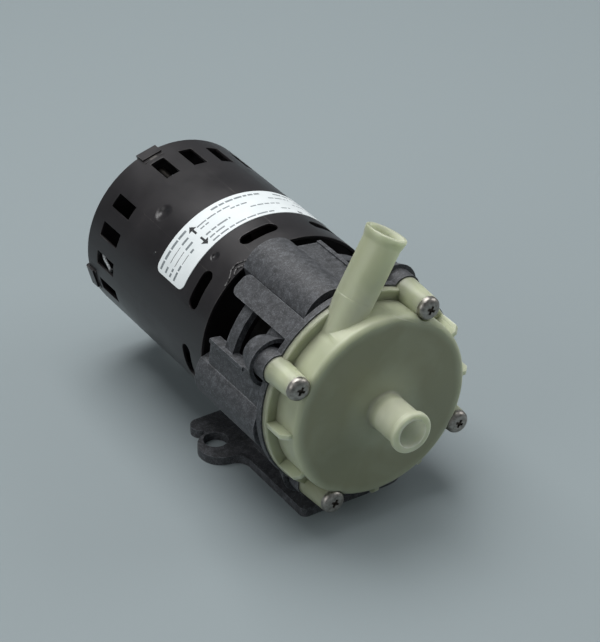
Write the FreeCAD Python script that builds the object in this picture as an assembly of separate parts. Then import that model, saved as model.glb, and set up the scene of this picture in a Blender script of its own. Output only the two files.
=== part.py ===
import FreeCAD
import Part
import math
import os

# Magnetic drive pump: a sealed plastic pump end on a moulded bracket, turned by an open
# steel-shell motor through a pair of ring magnets. Millimetres. +Z is up, the pump axis runs
# along Y with the inlet towards -Y, and the origin lies on the sole of the foot, midway
# between its two ears.

# Axis and main stations
FLANGE_CLEARANCE = 7.2
MOTOR_SETBACK = 2.3
BRACKET_LENGTH = 51.6
MOTOR_FRONT = -MOTOR_SETBACK
FLANGE = MOTOR_FRONT - BRACKET_LENGTH

# Fits between pieces
SNUG = 0.02
RUNNING_FIT = 0.04
END_PLAY = 0.3
HOLE_CLEARANCE = 0.2

# Screws that hold the front housing
SCREW_INSET = 1.0
SCREW_FIRST = 60.0
SCREW_R = 2.1
SCREW_HEAD_R = 5.0
SCREW_HEAD_HEIGHT = 2.9
SCREW_ENGAGEMENT = 10.5
INSERT_R = 3.2
INSERT_LENGTH = 7.0
BOSS_R = 5.1
BOSS_ROOT_R = 5.9
BOSS_STEP = 2.0

# Front housing
RIM_R = 44.8
RIM_THICK = 2.9
RIM_LEDGE = 4.5
RIM_FILLET = 0.8
BODY_DEPTH = 16.7
FACE_RISE = 2.3
FACE_FILLET = 2.6
FRONT_WALL = 4.0
CHAMBER_GAP = 5.5
VOLUTE_OFFSET = 2.0
GUSSET_INSET = 0.3
GUSSET_THICK = 2.0
GUSSET_SLOPE = 2.4
GUSSET_ANGLES = (0, 30, 180, 210, 270, 300)
SMALL_GUSSET_ANGLE = 92
SMALL_GUSSET_REACH = 6.0

# Hose ports
PORT_R = 7.94
PORT_BORE_R = 6.15
INLET_REACH = 21.6
INLET_BEAD_R = 9.0
INLET_BEAD_LENGTH = 2.5
INLET_LIP_FILLET = 1.2
INLET_ROOT_FILLET = 1.2
EYE_R = 8.6
EYE_CONE = 4.5
OUTLET_ANGLE = 60.0
OUTLET_OFFSET = 26.6
OUTLET_REACH = 65.9
OUTLET_SETBACK = 3.7
OUTLET_BEAD_R = 8.7
OUTLET_BEAD_LENGTH = 1.5
OUTLET_BEAD_CONE = 3.4
OUTLET_BORE_R = 6.5
OUTLET_MOUTH_R = 7.3
OUTLET_MOUTH_CONE = 2.5
THROAT_R = 4.2
THROAT_WALL = 2.0

# Seal between the two housings
RING_INSET = 2.9
RING_WIDTH = 2.4
RING_DEPTH = 2.0

# Impeller and its magnet
IMPELLER_R = 25.0
IMPELLER_DISC = 2.0
VANE_HEIGHT = 5.2
VANE_THICK = 1.8
VANE_COUNT = 6
VANE_START_R = 10.0
VANE_SWEEP = 58.0
VANE_GAP = 1.0
HUB_R = 7.2
CAPSULE_R = 21.4
CAPSULE_WALL = 1.0
CAPSULE_END_GAP = 0.8
INNER_MAGNET_BORE_R = 9.0
INNER_MAGNET_SETBACK = 5.0
BUSHING_R = 5.4
SPINDLE_R = 3.0
THRUST_R = 6.4
THRUST_THICK = 1.5

# Rear housing, the sealed can between the magnets
CAN_FLANGE_THICK = 3.0
CAN_LENGTH = 28.0
CAN_WALL = 1.6
CAN_END = 2.4
CAN_GAP = 0.9
CAN_BOSS_R = 6.4
CAN_BOSS_LENGTH = 4.5
SPINDLE_SEAT = 4.0
SPIDER_HUB_R = 4.9
SPIDER_LEG = 1.8

# Drive magnet on the motor shaft
DRIVE_GAP = 1.1
DRIVE_MAGNET_THICK = 5.5
DRIVE_MAGNET_LENGTH = 20.0
DRIVE_MAGNET_SETBACK = 2.4
CUP_WALL = 2.3
CUP_BACK = 4.0
CUP_BACK_GAP = 1.0
CUP_LIP = 1.2
CUP_CORNER = 1.5
CUP_HUB_R = 9.0
CUP_HUB_LENGTH = 9.0
SET_SCREW_R = 2.0

# Motor bracket
FLANGE_OVERHANG = 0.8
FLANGE_THICK = 5.6
RABBET_CLEARANCE = 0.3
SHELF_R = 36.0
BARREL_R = 41.0
BARREL_WALL = 3.5
LUG_R = 6.6
HOOD_R = 10.6
HOOD_REAR_R = 6.8
HOOD_INSET = 2.3
HOOD_GAP = 3.4
HOOD_LENGTH = 11.5
HOOD_WALL = 1.8
HOOD_POCKET = 6.0
BAND_REAR = 14.0
BAND_WIDTH = 5.8
BAND_R = 40.6
LEG_ANGLE = 105.0
LEG_HALF_ANGLE = 15.5
LEG_ARCH = 4.2
LEG_WALL = 3.0
NUT_ROOM = 3.6
LEG_PAD = 12.0
PAD_HALF_WIDTH = 7.5
PANEL_FLAT = 41.2
PANEL_FROM = 73.5
PANEL_TO = 90.0
PANEL_GAP = 5.3
RIDGE_WIDTH = 1.8
RIDGE_HEIGHT = 0.9
RIDGE_LENGTH = 25.0
RIB_FLAT = 42.6
RIB_FROM = 121.0
RIB_TO = 135.0
RIB_GAP = 4.9
RIB_CORNER = 3.6

# Foot of the bracket
FOOT_HALF_WIDTH = 27.4
FOOT_FRONT = 56.4
FOOT_REAR = 22.2
FOOT_THICK = 4.0
FOOT_LEFT_CORNER = 2.6
FOOT_RIGHT_CORNER = 14.0
EAR_R = 10.1
EAR_X = 31.4
EAR_Y = 1.0
EAR_NECK_R = 6.5
TAB_R = 4.8
TAB_X = 31.4
HOLE_R = 5.3
HOLE_X = 32.0
HOLE_Y = 4.7
BRIDGE_X = 33.0
PEDESTAL_HALF_WIDTH = 21.0
PEDESTAL_OVERLAP = 6.0
CORE_DEPTH = 8.0
CORE_WALL = 3.2
FOOT_RIB_X = 13.0
FOOT_RIB_THICK = 2.6
FOOT_RIB_HEIGHT = 8.4

# Motor shell
SHELL_R = 41.9
SHELL_WALL = 1.2
SHELL_LENGTH = 96.6
WINDOW_SETBACK = 8.55
WINDOW_LENGTH = 14.1
WINDOW_WIDTH = 6.5
WINDOW_STEP = 18.8
WINDOW_GROUP = 76.9
VENT_FROM = 9.4
VENT_WIDTH = 6.3
VENT_SPAN = 24.0
VENT_FIRST = 52.0
VENT_STEP = 47.0
VENT_COUNT = 7

# Motor end bells, bearings and through bolts
BOLT_INSET = 0.5
BOLT_R = 2.0
BOLT_HEAD_R = 3.6
BOLT_HEAD_HEIGHT = 2.8
NUT_R = 4.0
NUT_HEIGHT = 3.2
BOLT_END = 0.6
BELL_PAD_R = 4.6
FRONT_BELL_RIM = 6.0
FRONT_BELL_PLATE = 3.0
BELL_WALL = 2.0
HUB_WALL = 3.0
HUB_FRONT = 3.0
BEARING_R = 7.6
BEARING_LENGTH = 10.0
FELT_THICK = 2.0
RETAINER_THICK = 0.8
RETAINER_BORE_R = 5.2
SHAFT_R = 3.97
REAR_BELL_DEPTH = 6.3
REAR_BELL_PLATE = 1.6
REAR_CAP = 1.5
BELL_SLOT_INNER_R = 18.0
BELL_SLOT_GAP = 1.0
BELL_SLOT_HALF_ANGLE = 24.0
CLIP_WIDTH = 9.5
CLIP_THICK = 0.9
CLIP_REACH = 4.6
CLIP_RISE = 1.6

# Stator and rotor
CORE_START = 16.3
CORE_LENGTH = 26.0
STATOR_BORE_R = 22.35
AIR_GAP = 0.35
SLOT_COUNT = 12
SLOT_INNER_R = 25.0
SLOT_OUTER_R = 33.0
SLOT_WIDTH = 6.4
SLOT_MOUTH = 2.4
COIL_CLEARANCE = 0.4
COIL_END = 9.0
COIL_INNER_R = 25.4
COIL_OUTER_R = 33.0
CAGE_RING = 4.0
CAGE_RING_THICK = 6.0
CAGE_BAR_R = 1.5
CAGE_BAR_COUNT = 16
SHAFT_WASHER_R = 6.8
SHAFT_WASHER_THICK = 1.0

# Cooling fan
FAN_R = 32.5
FAN_HUB_R = 8.0
FAN_WIDTH = 9.0
FAN_DISC = 1.6
FAN_BLADE = 1.6
FAN_BLADES = 9
FAN_GAP = 1.2

# Nameplate and lead grommet
PLATE_THICK = 0.3
PLATE_FROM = 21.8
PLATE_WIDTH = 20.9
PLATE_START = 28.0
PLATE_END = 154.0
PLATE_CORNER = 3.2
GROMMET_R = 5.0
GROMMET_BORE_R = 2.6
GROMMET_LIP = 1.2
GROMMET_CIRCLE = 26.0
GROMMET_ANGLE = 270.0

FORWARD = FreeCAD.Vector(0, 1, 0)


def quarters(first):
    """Four angles a quarter turn apart."""
    return [first + 90.0 * k for k in range(4)]


def polar(angle, radius, y):
    """Point at an angle and radius about the pump axis, angles from +X towards +Z."""
    a = math.radians(angle)
    return FreeCAD.Vector(radius * math.cos(a), y, SHAFT_HEIGHT + radius * math.sin(a))


def turned(shape, angle):
    """Copy of a shape turned about the pump axis from +X towards +Z."""
    moved = shape.copy()
    moved.rotate(FreeCAD.Vector(0, 0, SHAFT_HEIGHT), FreeCAD.Vector(0, -1, 0), angle)
    return moved


def ring(y0, y1, outer, inner=0.0):
    """Round bar or tube on the pump axis."""
    start = FreeCAD.Vector(0, y0, SHAFT_HEIGHT)
    solid = Part.makeCylinder(outer, y1 - y0, start, FORWARD)
    if inner > 0:
        solid = solid.cut(Part.makeCylinder(inner, y1 - y0, start, FORWARD))
    return solid


def rod(angle, circle, y0, y1, radius):
    """Round bar beside the pump axis and parallel to it."""
    return Part.makeCylinder(radius, y1 - y0, polar(angle, circle, y0), FORWARD)


def spun(points):
    """Solid of revolution about the pump axis from (y, radius) points."""
    outline = [FreeCAD.Vector(r, y, SHAFT_HEIGHT) for y, r in points]
    face = Part.Face(Part.makePolygon(outline + outline[:1]))
    return face.revolve(FreeCAD.Vector(0, 0, SHAFT_HEIGHT), FORWARD, 360)


def block(x0, x1, y0, y1, z0, z1):
    """Box between two corners, with x and z measured from the pump axis."""
    corner = FreeCAD.Vector(x0, y0, SHAFT_HEIGHT + z0)
    return Part.makeBox(x1 - x0, y1 - y0, z1 - z0, corner)


def sector(y0, y1, inner, outer, a0, a1):
    """Part of a tube between two angles."""
    middle = (a0 + a1) / 2
    edges = [
        Part.LineSegment(polar(a0, inner, y0), polar(a0, outer, y0)).toShape(),
        Part.Arc(polar(a0, outer, y0), polar(middle, outer, y0), polar(a1, outer, y0)).toShape(),
        Part.LineSegment(polar(a1, outer, y0), polar(a1, inner, y0)).toShape(),
        Part.Arc(polar(a1, inner, y0), polar(middle, inner, y0), polar(a0, inner, y0)).toShape(),
    ]
    return Part.Face(Part.Wire(edges)).extrude(FreeCAD.Vector(0, y1 - y0, 0))


def near_circle(shape, y, radius, slack=0.05):
    """Full circles about the pump axis at one station, for a fillet."""
    found = []
    for edge in shape.Edges:
        curve = edge.Curve
        if not isinstance(curve, Part.Circle):
            continue
        if abs(curve.Center.y - y) < slack and abs(curve.Radius - radius) < slack:
            if abs(curve.Center.x) < slack and abs(curve.Center.z - SHAFT_HEIGHT) < slack:
                found.append(edge)
    return found


# Stations along the pump axis that several pieces share
BODY_FACE = FLANGE - BODY_DEPTH
CHAMBER_FACE = BODY_FACE + FRONT_WALL
BOSS_FACE = BODY_FACE + BOSS_STEP
INLET_ROOT = BODY_FACE - FACE_RISE
INLET_MOUTH = BODY_FACE - INLET_REACH
VANE_FRONT = CHAMBER_FACE + VANE_GAP
DISC_FRONT = VANE_FRONT + VANE_HEIGHT
DISC_REAR = DISC_FRONT + IMPELLER_DISC
CAN_INNER_END = FLANGE + CAN_LENGTH
CAN_OUTER_END = CAN_INNER_END + CAN_END
CAN_BOSS_FACE = CAN_INNER_END - CAN_BOSS_LENGTH
BUSHING_REAR = CAN_BOSS_FACE - THRUST_THICK - END_PLAY
BUSHING_FRONT = DISC_FRONT - 1.5 * THRUST_THICK
SPIDER_REAR = BUSHING_FRONT - END_PLAY - THRUST_THICK
CUP_FRONT_OF_BACK = CAN_OUTER_END + CUP_BACK_GAP
CUP_REAR = CUP_FRONT_OF_BACK + CUP_BACK
CUP_HUB_REAR = CUP_REAR + CUP_HUB_LENGTH
SHAFT_FRONT = CUP_FRONT_OF_BACK + END_PLAY
CAN_INNER_R = CAPSULE_R + CAN_GAP
INNER_MAGNET_FRONT = DISC_REAR + INNER_MAGNET_SETBACK
CAN_OUTER_R = CAN_INNER_R + CAN_WALL
DRIVE_INNER_R = CAN_OUTER_R + DRIVE_GAP
DRIVE_OUTER_R = DRIVE_INNER_R + DRIVE_MAGNET_THICK
CUP_OUTER_R = DRIVE_OUTER_R + CUP_WALL
BARREL_BORE_R = BARREL_R - BARREL_WALL
RABBET_FLOOR = FLANGE + CAN_FLANGE_THICK
DRIVE_MAGNET_FRONT = RABBET_FLOOR + DRIVE_MAGNET_SETBACK
CHAMBER_R = IMPELLER_R + CHAMBER_GAP
SCREW_CIRCLE = RIM_R - SCREW_INSET
BODY_R = RIM_R - RIM_LEDGE
GUSSET_R = RIM_R - GUSSET_INSET
CAN_FLANGE_R = BODY_R
RING_R = CAN_FLANGE_R - RING_INSET
FLANGE_R = RIM_R + FLANGE_OVERHANG
HOOD_CIRCLE = SCREW_CIRCLE - HOOD_INSET
SHAFT_HEIGHT = FLANGE_R + FLANGE_CLEARANCE
HOOD_FRONT = RABBET_FLOOR + HOOD_GAP
HOOD_REAR = HOOD_FRONT + HOOD_LENGTH
SHELL_BORE_R = SHELL_R - SHELL_WALL
SHELL_REAR = MOTOR_FRONT + SHELL_LENGTH
WINDOW_REAR = SHELL_REAR - WINDOW_SETBACK
BOLT_CIRCLE = SHELL_BORE_R - BELL_PAD_R - BOLT_INSET
PAD_REACH = BOLT_CIRCLE - NUT_R
LEG_CREST_R = BOLT_CIRCLE + NUT_R + NUT_ROOM + LEG_WALL
LEG_BASE_R = LEG_CREST_R - LEG_ARCH
BELL_SLOT_OUTER_R = BOLT_CIRCLE - BOLT_HEAD_R - BELL_SLOT_GAP
BELL_PLATE_FRONT = MOTOR_FRONT + HUB_FRONT
BEARING_FRONT = MOTOR_FRONT + SNUG
FRONT_FELT = BEARING_FRONT + BEARING_LENGTH
FRONT_HUB_REAR = FRONT_FELT + FELT_THICK + RETAINER_THICK
CORE_FRONT = MOTOR_FRONT + CORE_START
CORE_REAR = CORE_FRONT + CORE_LENGTH
ROTOR_R = STATOR_BORE_R - AIR_GAP
REAR_PLATE_REAR = SHELL_REAR - REAR_BELL_DEPTH
REAR_PLATE_FRONT = REAR_PLATE_REAR - REAR_BELL_PLATE
REAR_HUB_REAR = SHELL_REAR + REAR_CAP
REAR_BEARING_REAR = REAR_HUB_REAR - 2 * REAR_CAP
REAR_BEARING_FRONT = REAR_BEARING_REAR - BEARING_LENGTH
REAR_HUB_FRONT = REAR_BEARING_FRONT - FELT_THICK - RETAINER_THICK
FAN_REAR = REAR_HUB_FRONT - SHAFT_WASHER_THICK - END_PLAY
FAN_FRONT = FAN_REAR - FAN_WIDTH
PAD_FRONT = MOTOR_FRONT - LEG_PAD
BAND_END = MOTOR_FRONT - BAND_REAR
BAND_FRONT = BAND_END - BAND_WIDTH


def outlet_point(along, across, y):
    """Point beside the outlet's centre line: along it, left of the pump axis, and at a station."""
    a = math.radians(OUTLET_ANGLE)
    x = along * math.cos(a) - across * math.sin(a)
    z = along * math.sin(a) + across * math.cos(a)
    return FreeCAD.Vector(x, y, SHAFT_HEIGHT + z)


def outlet_bar(from_along, to_along, radius, y, end_radius=None):
    """Round or conical bar on the outlet's centre line."""
    a = math.radians(OUTLET_ANGLE)
    direction = FreeCAD.Vector(math.cos(a), 0, math.sin(a))
    start = outlet_point(from_along, OUTLET_OFFSET, y)
    length = to_along - from_along
    if end_radius is None:
        return Part.makeCylinder(radius, length, start, direction)
    return Part.makeCone(radius, end_radius, length, start, direction)


def housing_outer():
    """Outside of the front housing: rim, body with its shallow cone, and inlet tube."""
    root_r = PORT_R
    body = spun([
        (FLANGE, 0),
        (FLANGE, RIM_R),
        (FLANGE - RIM_THICK, RIM_R),
        (FLANGE - RIM_THICK, BODY_R),
        (BODY_FACE, BODY_R),
        (INLET_ROOT, root_r),
        (INLET_MOUTH, root_r),
        (INLET_MOUTH, 0),
    ])
    body = body.makeFillet(FACE_FILLET, near_circle(body, BODY_FACE, BODY_R))
    body = body.makeFillet(INLET_ROOT_FILLET, near_circle(body, INLET_ROOT, root_r))
    return body.makeFillet(RIM_FILLET, near_circle(body, FLANGE - RIM_THICK, RIM_R))


def inlet_bead():
    """Rounded bead that a hose is pushed over."""
    bead = spun([
        (INLET_MOUTH, 0),
        (INLET_MOUTH, INLET_BEAD_R),
        (INLET_MOUTH + INLET_BEAD_LENGTH, INLET_BEAD_R),
        (INLET_MOUTH + INLET_BEAD_LENGTH + INLET_BEAD_R - PORT_R, PORT_R),
        (INLET_MOUTH + INLET_BEAD_LENGTH + INLET_BEAD_R - PORT_R, 0),
    ])
    return bead.makeFillet(INLET_LIP_FILLET, near_circle(bead, INLET_MOUTH, INLET_BEAD_R))


def outlet_outer():
    """Outlet tube with its slightly flared mouth, kept clear of the bracket's flange."""
    y = FLANGE - OUTLET_SETBACK
    bead_start = OUTLET_REACH - OUTLET_BEAD_LENGTH
    cone_start = bead_start - OUTLET_BEAD_CONE
    tube = outlet_bar(0, OUTLET_REACH, PORT_R, y)
    cone = outlet_bar(cone_start, bead_start, PORT_R, y, OUTLET_BEAD_R)
    bead = outlet_bar(bead_start, OUTLET_REACH, OUTLET_BEAD_R, y)
    clearance = ring(FLANGE, FLANGE + 2 * PORT_R, FLANGE_R + 2 * RABBET_CLEARANCE)
    rim = [
        e for e in bead.Edges
        if isinstance(e.Curve, Part.Circle) and e.CenterOfMass.z > bead.CenterOfMass.z
    ]
    bead = bead.makeFillet(0.5, rim)
    return tube.fuse([cone, bead]).cut(clearance)


def outlet_inner():
    """Throat, diffuser and bore of the outlet."""
    y = FLANGE - OUTLET_SETBACK
    throat_y = FLANGE - THROAT_R - THROAT_WALL
    clear_of_flange = math.sqrt(FLANGE_R ** 2 - (OUTLET_OFFSET - PORT_R) ** 2) + THROAT_WALL
    diffuser_end = clear_of_flange + 2 * THROAT_R
    a = math.radians(OUTLET_ANGLE)
    direction = FreeCAD.Vector(math.cos(a), 0, math.sin(a))
    throat = outlet_bar(0, clear_of_flange, THROAT_R, throat_y)
    small = Part.Circle(outlet_point(clear_of_flange, OUTLET_OFFSET, throat_y), direction, THROAT_R)
    large = Part.Circle(outlet_point(diffuser_end, OUTLET_OFFSET, y), direction, OUTLET_BORE_R)
    wires = [Part.Wire(small.toShape()), Part.Wire(large.toShape())]
    diffuser = Part.makeLoft(wires, True, True)
    bore = outlet_bar(diffuser_end, OUTLET_REACH, OUTLET_BORE_R, y)
    mouth = outlet_bar(OUTLET_REACH - OUTLET_MOUTH_CONE, OUTLET_REACH, OUTLET_BORE_R, y,
                       OUTLET_MOUTH_R)
    return throat.fuse([diffuser, bore, mouth])


def gusset(front):
    """Stiffening rib between the rim and the body, at the +X side, from a front station."""
    outline = [
        FreeCAD.Vector(BODY_R - 2, FLANGE - RIM_THICK / 2, SHAFT_HEIGHT - GUSSET_THICK / 2),
        FreeCAD.Vector(GUSSET_R, FLANGE - RIM_THICK / 2, SHAFT_HEIGHT - GUSSET_THICK / 2),
        FreeCAD.Vector(GUSSET_R, front + GUSSET_SLOPE, SHAFT_HEIGHT - GUSSET_THICK / 2),
        FreeCAD.Vector(GUSSET_R - GUSSET_SLOPE, front, SHAFT_HEIGHT - GUSSET_THICK / 2),
        FreeCAD.Vector(BODY_R - 2, front, SHAFT_HEIGHT - GUSSET_THICK / 2),
    ]
    face = Part.Face(Part.makePolygon(outline + outline[:1]))
    return face.extrude(FreeCAD.Vector(0, 0, GUSSET_THICK))


def screw_boss():
    """Slightly tapered boss under one screw head, at the +X side."""
    length = FLANGE - BOSS_FACE
    return Part.makeCone(BOSS_R, BOSS_ROOT_R, length, polar(0, SCREW_CIRCLE, BOSS_FACE), FORWARD)


def spindle_spider():
    """Hub on three legs in the suction eye that holds the front end of the spindle."""
    hub_front = INLET_ROOT + 1.0
    parts = [ring(hub_front, SPIDER_REAR, SPIDER_HUB_R)]
    leg = block(0, EYE_R + 1, BODY_FACE, CHAMBER_FACE, -SPIDER_LEG / 2, SPIDER_LEG / 2)
    parts += [turned(leg, 90 + 120 * k) for k in range(3)]
    socket_floor = SPIDER_REAR - SPINDLE_SEAT
    socket = ring(socket_floor, SPIDER_REAR, SPINDLE_R + SNUG)
    return parts[0].fuse(parts[1:]).cut(socket)


def front_housing():
    """Moulded polypropylene cover with the volute, the inlet and the outlet."""
    parts = [inlet_bead(), outlet_outer()]
    parts += [turned(screw_boss(), a) for a in quarters(SCREW_FIRST)]
    parts += [turned(gusset(BOSS_FACE), a) for a in GUSSET_ANGLES]
    parts.append(turned(gusset(FLANGE - RIM_THICK - SMALL_GUSSET_REACH), SMALL_GUSSET_ANGLE))
    body = housing_outer().fuse(parts)
    volute_centre = polar(OUTLET_ANGLE + 90, VOLUTE_OFFSET, CHAMBER_FACE)
    chamber = Part.makeCylinder(CHAMBER_R, FLANGE - CHAMBER_FACE, volute_centre, FORWARD)
    suction = spun([
        (INLET_MOUTH, 0),
        (INLET_MOUTH, PORT_BORE_R),
        (BODY_FACE - EYE_CONE, PORT_BORE_R),
        (BODY_FACE, EYE_R),
        (CHAMBER_FACE, EYE_R),
        (CHAMBER_FACE, 0),
    ])
    groove = ring(FLANGE - RING_DEPTH, FLANGE, RING_R + RING_WIDTH / 2, RING_R - RING_WIDTH / 2)
    holes = [
        rod(a, SCREW_CIRCLE, BOSS_FACE, FLANGE, SCREW_R + HOLE_CLEARANCE)
        for a in quarters(SCREW_FIRST)
    ]
    seats = [
        rod(a, SCREW_CIRCLE, INLET_ROOT, BOSS_FACE, SCREW_HEAD_R + END_PLAY)
        for a in quarters(SCREW_FIRST)
    ]
    hollow = body.cut([chamber, suction, outlet_inner(), groove] + holes + seats)
    return hollow.fuse(spindle_spider()).removeSplitter()


def housing_o_ring():
    """Square-seated rubber ring in the groove of the front housing."""
    half = RING_WIDTH / 2 - SNUG
    seal = ring(FLANGE - RING_DEPTH, FLANGE, RING_R + half, RING_R - half)
    return seal.makeFillet(RING_WIDTH / 4, [e for e in seal.Edges if e.Closed])


def housing_screws():
    """Four cross-recess pan-head screws of stainless steel."""
    end = FLANGE + SCREW_ENGAGEMENT
    dome = SCREW_HEAD_R * 0.45
    head = Part.makeCylinder(SCREW_HEAD_R, SCREW_HEAD_HEIGHT,
                             polar(0, SCREW_CIRCLE, BOSS_FACE), FreeCAD.Vector(0, -1, 0))
    front_edges = [
        e for e in head.Edges
        if isinstance(e.Curve, Part.Circle) and e.Curve.Center.y < BOSS_FACE - SCREW_HEAD_HEIGHT / 2
    ]
    head = head.makeFillet(dome, front_edges)
    shank = rod(0, SCREW_CIRCLE, BOSS_FACE - 1, end, SCREW_R)
    arm = SCREW_HEAD_R * 0.37
    web = SCREW_HEAD_R * 0.12
    floor = BOSS_FACE - SCREW_HEAD_HEIGHT + 1.6
    top = BOSS_FACE - SCREW_HEAD_HEIGHT - 1
    cross = [
        block(SCREW_CIRCLE - arm, SCREW_CIRCLE + arm, top, floor, -web, web),
        block(SCREW_CIRCLE - web, SCREW_CIRCLE + web, top, floor, -arm, arm),
        rod(0, SCREW_CIRCLE, top, floor + 0.4, 1.6 * web),
    ]
    screw = head.fuse(shank).cut(cross)
    return Part.makeCompound([turned(screw, a) for a in quarters(SCREW_FIRST)])


def screw_inserts():
    """Brass threaded inserts in the bracket's lugs."""
    start = RABBET_FLOOR + END_PLAY
    tubes = []
    for a in quarters(SCREW_FIRST):
        outer = rod(a, SCREW_CIRCLE, start, start + INSERT_LENGTH, INSERT_R)
        bore = rod(a, SCREW_CIRCLE, start, start + INSERT_LENGTH, SCREW_R + SNUG)
        tubes.append(outer.cut(bore))
    return Part.makeCompound(tubes)


def vane():
    """One backward-curved vane standing on the impeller's disc."""
    radii = (VANE_START_R, (VANE_START_R + IMPELLER_R) / 2, IMPELLER_R)
    angles = (0.0, VANE_SWEEP * 0.42, VANE_SWEEP)
    sides = []
    for side in (-1, 1):
        points = []
        for radius, angle in zip(radii, angles):
            shift = math.degrees(side * VANE_THICK / 2 / radius)
            points.append(polar(angle + shift, radius, VANE_FRONT))
        sides.append(points)
    low, high = sides
    edges = [
        Part.Arc(low[0], low[1], low[2]).toShape(),
        Part.LineSegment(low[2], high[2]).toShape(),
        Part.Arc(high[2], high[1], high[0]).toShape(),
        Part.LineSegment(high[0], low[0]).toShape(),
    ]
    return Part.Face(Part.Wire(edges)).extrude(FreeCAD.Vector(0, VANE_HEIGHT + IMPELLER_DISC / 2, 0))


def impeller():
    """Open impeller with the plastic capsule that seals the inner magnet."""
    capsule_rear = BUSHING_REAR - CAPSULE_END_GAP
    hub = ring(BUSHING_FRONT, capsule_rear, HUB_R)
    disc = ring(DISC_FRONT, DISC_REAR, IMPELLER_R)
    capsule = ring(DISC_FRONT, capsule_rear, CAPSULE_R)
    vanes = [turned(vane(), 360.0 / VANE_COUNT * k) for k in range(VANE_COUNT)]
    solid = hub.fuse([disc, capsule] + vanes)
    pocket = ring(INNER_MAGNET_FRONT, capsule_rear - CAPSULE_WALL, CAPSULE_R - CAPSULE_WALL,
                  INNER_MAGNET_BORE_R)
    bore = ring(BUSHING_FRONT, capsule_rear, BUSHING_R)
    return solid.cut([pocket, bore])


def driven_magnet():
    """Ferrite ring moulded into the impeller's capsule."""
    capsule_rear = BUSHING_REAR - CAPSULE_END_GAP
    return ring(INNER_MAGNET_FRONT, capsule_rear - CAPSULE_WALL, CAPSULE_R - CAPSULE_WALL - SNUG,
                INNER_MAGNET_BORE_R + SNUG)


def impeller_bushing():
    """Carbon sleeve in the impeller that runs on the spindle."""
    return ring(BUSHING_FRONT, BUSHING_REAR, BUSHING_R - SNUG, SPINDLE_R + RUNNING_FIT)


def spindle():
    """Fixed ceramic spindle between the spider and the can."""
    front = SPIDER_REAR - SPINDLE_SEAT
    rear = CAN_BOSS_FACE + SPINDLE_SEAT
    pin = ring(front, rear, SPINDLE_R)
    return pin.makeChamfer(0.4, near_circle(pin, front, SPINDLE_R))


def front_thrust_washer():
    """Ceramic washer on the spider's hub."""
    return ring(SPIDER_REAR, SPIDER_REAR + THRUST_THICK, BUSHING_R, SPINDLE_R + SNUG)


def rear_thrust_washer():
    """Ceramic washer on the boss of the can."""
    return ring(CAN_BOSS_FACE - THRUST_THICK, CAN_BOSS_FACE, THRUST_R, SPINDLE_R + SNUG)


def rear_housing():
    """Thin-walled can that seals the wet end and passes the magnets' pull."""
    socket_floor = CAN_BOSS_FACE + SPINDLE_SEAT
    can = spun([
        (FLANGE, CAN_INNER_R),
        (FLANGE, CAN_FLANGE_R),
        (RABBET_FLOOR, CAN_FLANGE_R),
        (RABBET_FLOOR, CAN_OUTER_R),
        (CAN_OUTER_END, CAN_OUTER_R),
        (CAN_OUTER_END, 0),
        (socket_floor, 0),
        (socket_floor, SPINDLE_R + SNUG),
        (CAN_BOSS_FACE, SPINDLE_R + SNUG),
        (CAN_BOSS_FACE, CAN_BOSS_R),
        (CAN_INNER_END, CAN_BOSS_R),
        (CAN_INNER_END, CAN_INNER_R),
    ])
    return can.makeFillet(CAN_WALL, near_circle(can, CAN_OUTER_END, CAN_OUTER_R))


def drive_cup():
    """Steel cup on the motor shaft that carries the outer magnet."""
    front = DRIVE_MAGNET_FRONT - CUP_LIP
    cup = spun([
        (front, DRIVE_OUTER_R),
        (front, CUP_OUTER_R),
        (CUP_REAR, CUP_OUTER_R),
        (CUP_REAR, CUP_HUB_R),
        (CUP_HUB_REAR, CUP_HUB_R),
        (CUP_HUB_REAR, SHAFT_R + SNUG),
        (CUP_FRONT_OF_BACK, SHAFT_R + SNUG),
        (CUP_FRONT_OF_BACK, DRIVE_OUTER_R),
    ])
    cup = cup.makeFillet(CUP_CORNER, near_circle(cup, CUP_REAR, CUP_OUTER_R))
    return cup.cut(set_screw_bars(SET_SCREW_R + SNUG))


def set_screw_bars(radius):
    """Two radial bars through the hub of the cup."""
    station = (CUP_REAR + CUP_HUB_REAR) / 2
    start = FreeCAD.Vector(SHAFT_R / 2, station, SHAFT_HEIGHT)
    bar = Part.makeCylinder(radius, CUP_HUB_R, start, FreeCAD.Vector(1, 0, 0))
    return [turned(bar, 0), turned(bar, 90)]


def hub_set_screws():
    """Two cup-point set screws."""
    station = (CUP_REAR + CUP_HUB_REAR) / 2
    start = FreeCAD.Vector(SHAFT_R + SNUG, station, SHAFT_HEIGHT)
    length = CUP_HUB_R - SHAFT_R - 2 * END_PLAY
    screw = Part.makeCylinder(SET_SCREW_R, length, start, FreeCAD.Vector(1, 0, 0))
    return Part.makeCompound([turned(screw, 0), turned(screw, 90)])


def drive_magnet():
    """Ferrite ring bonded inside the cup."""
    return ring(DRIVE_MAGNET_FRONT, DRIVE_MAGNET_FRONT + DRIVE_MAGNET_LENGTH,
                DRIVE_OUTER_R - SNUG, DRIVE_INNER_R)


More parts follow.
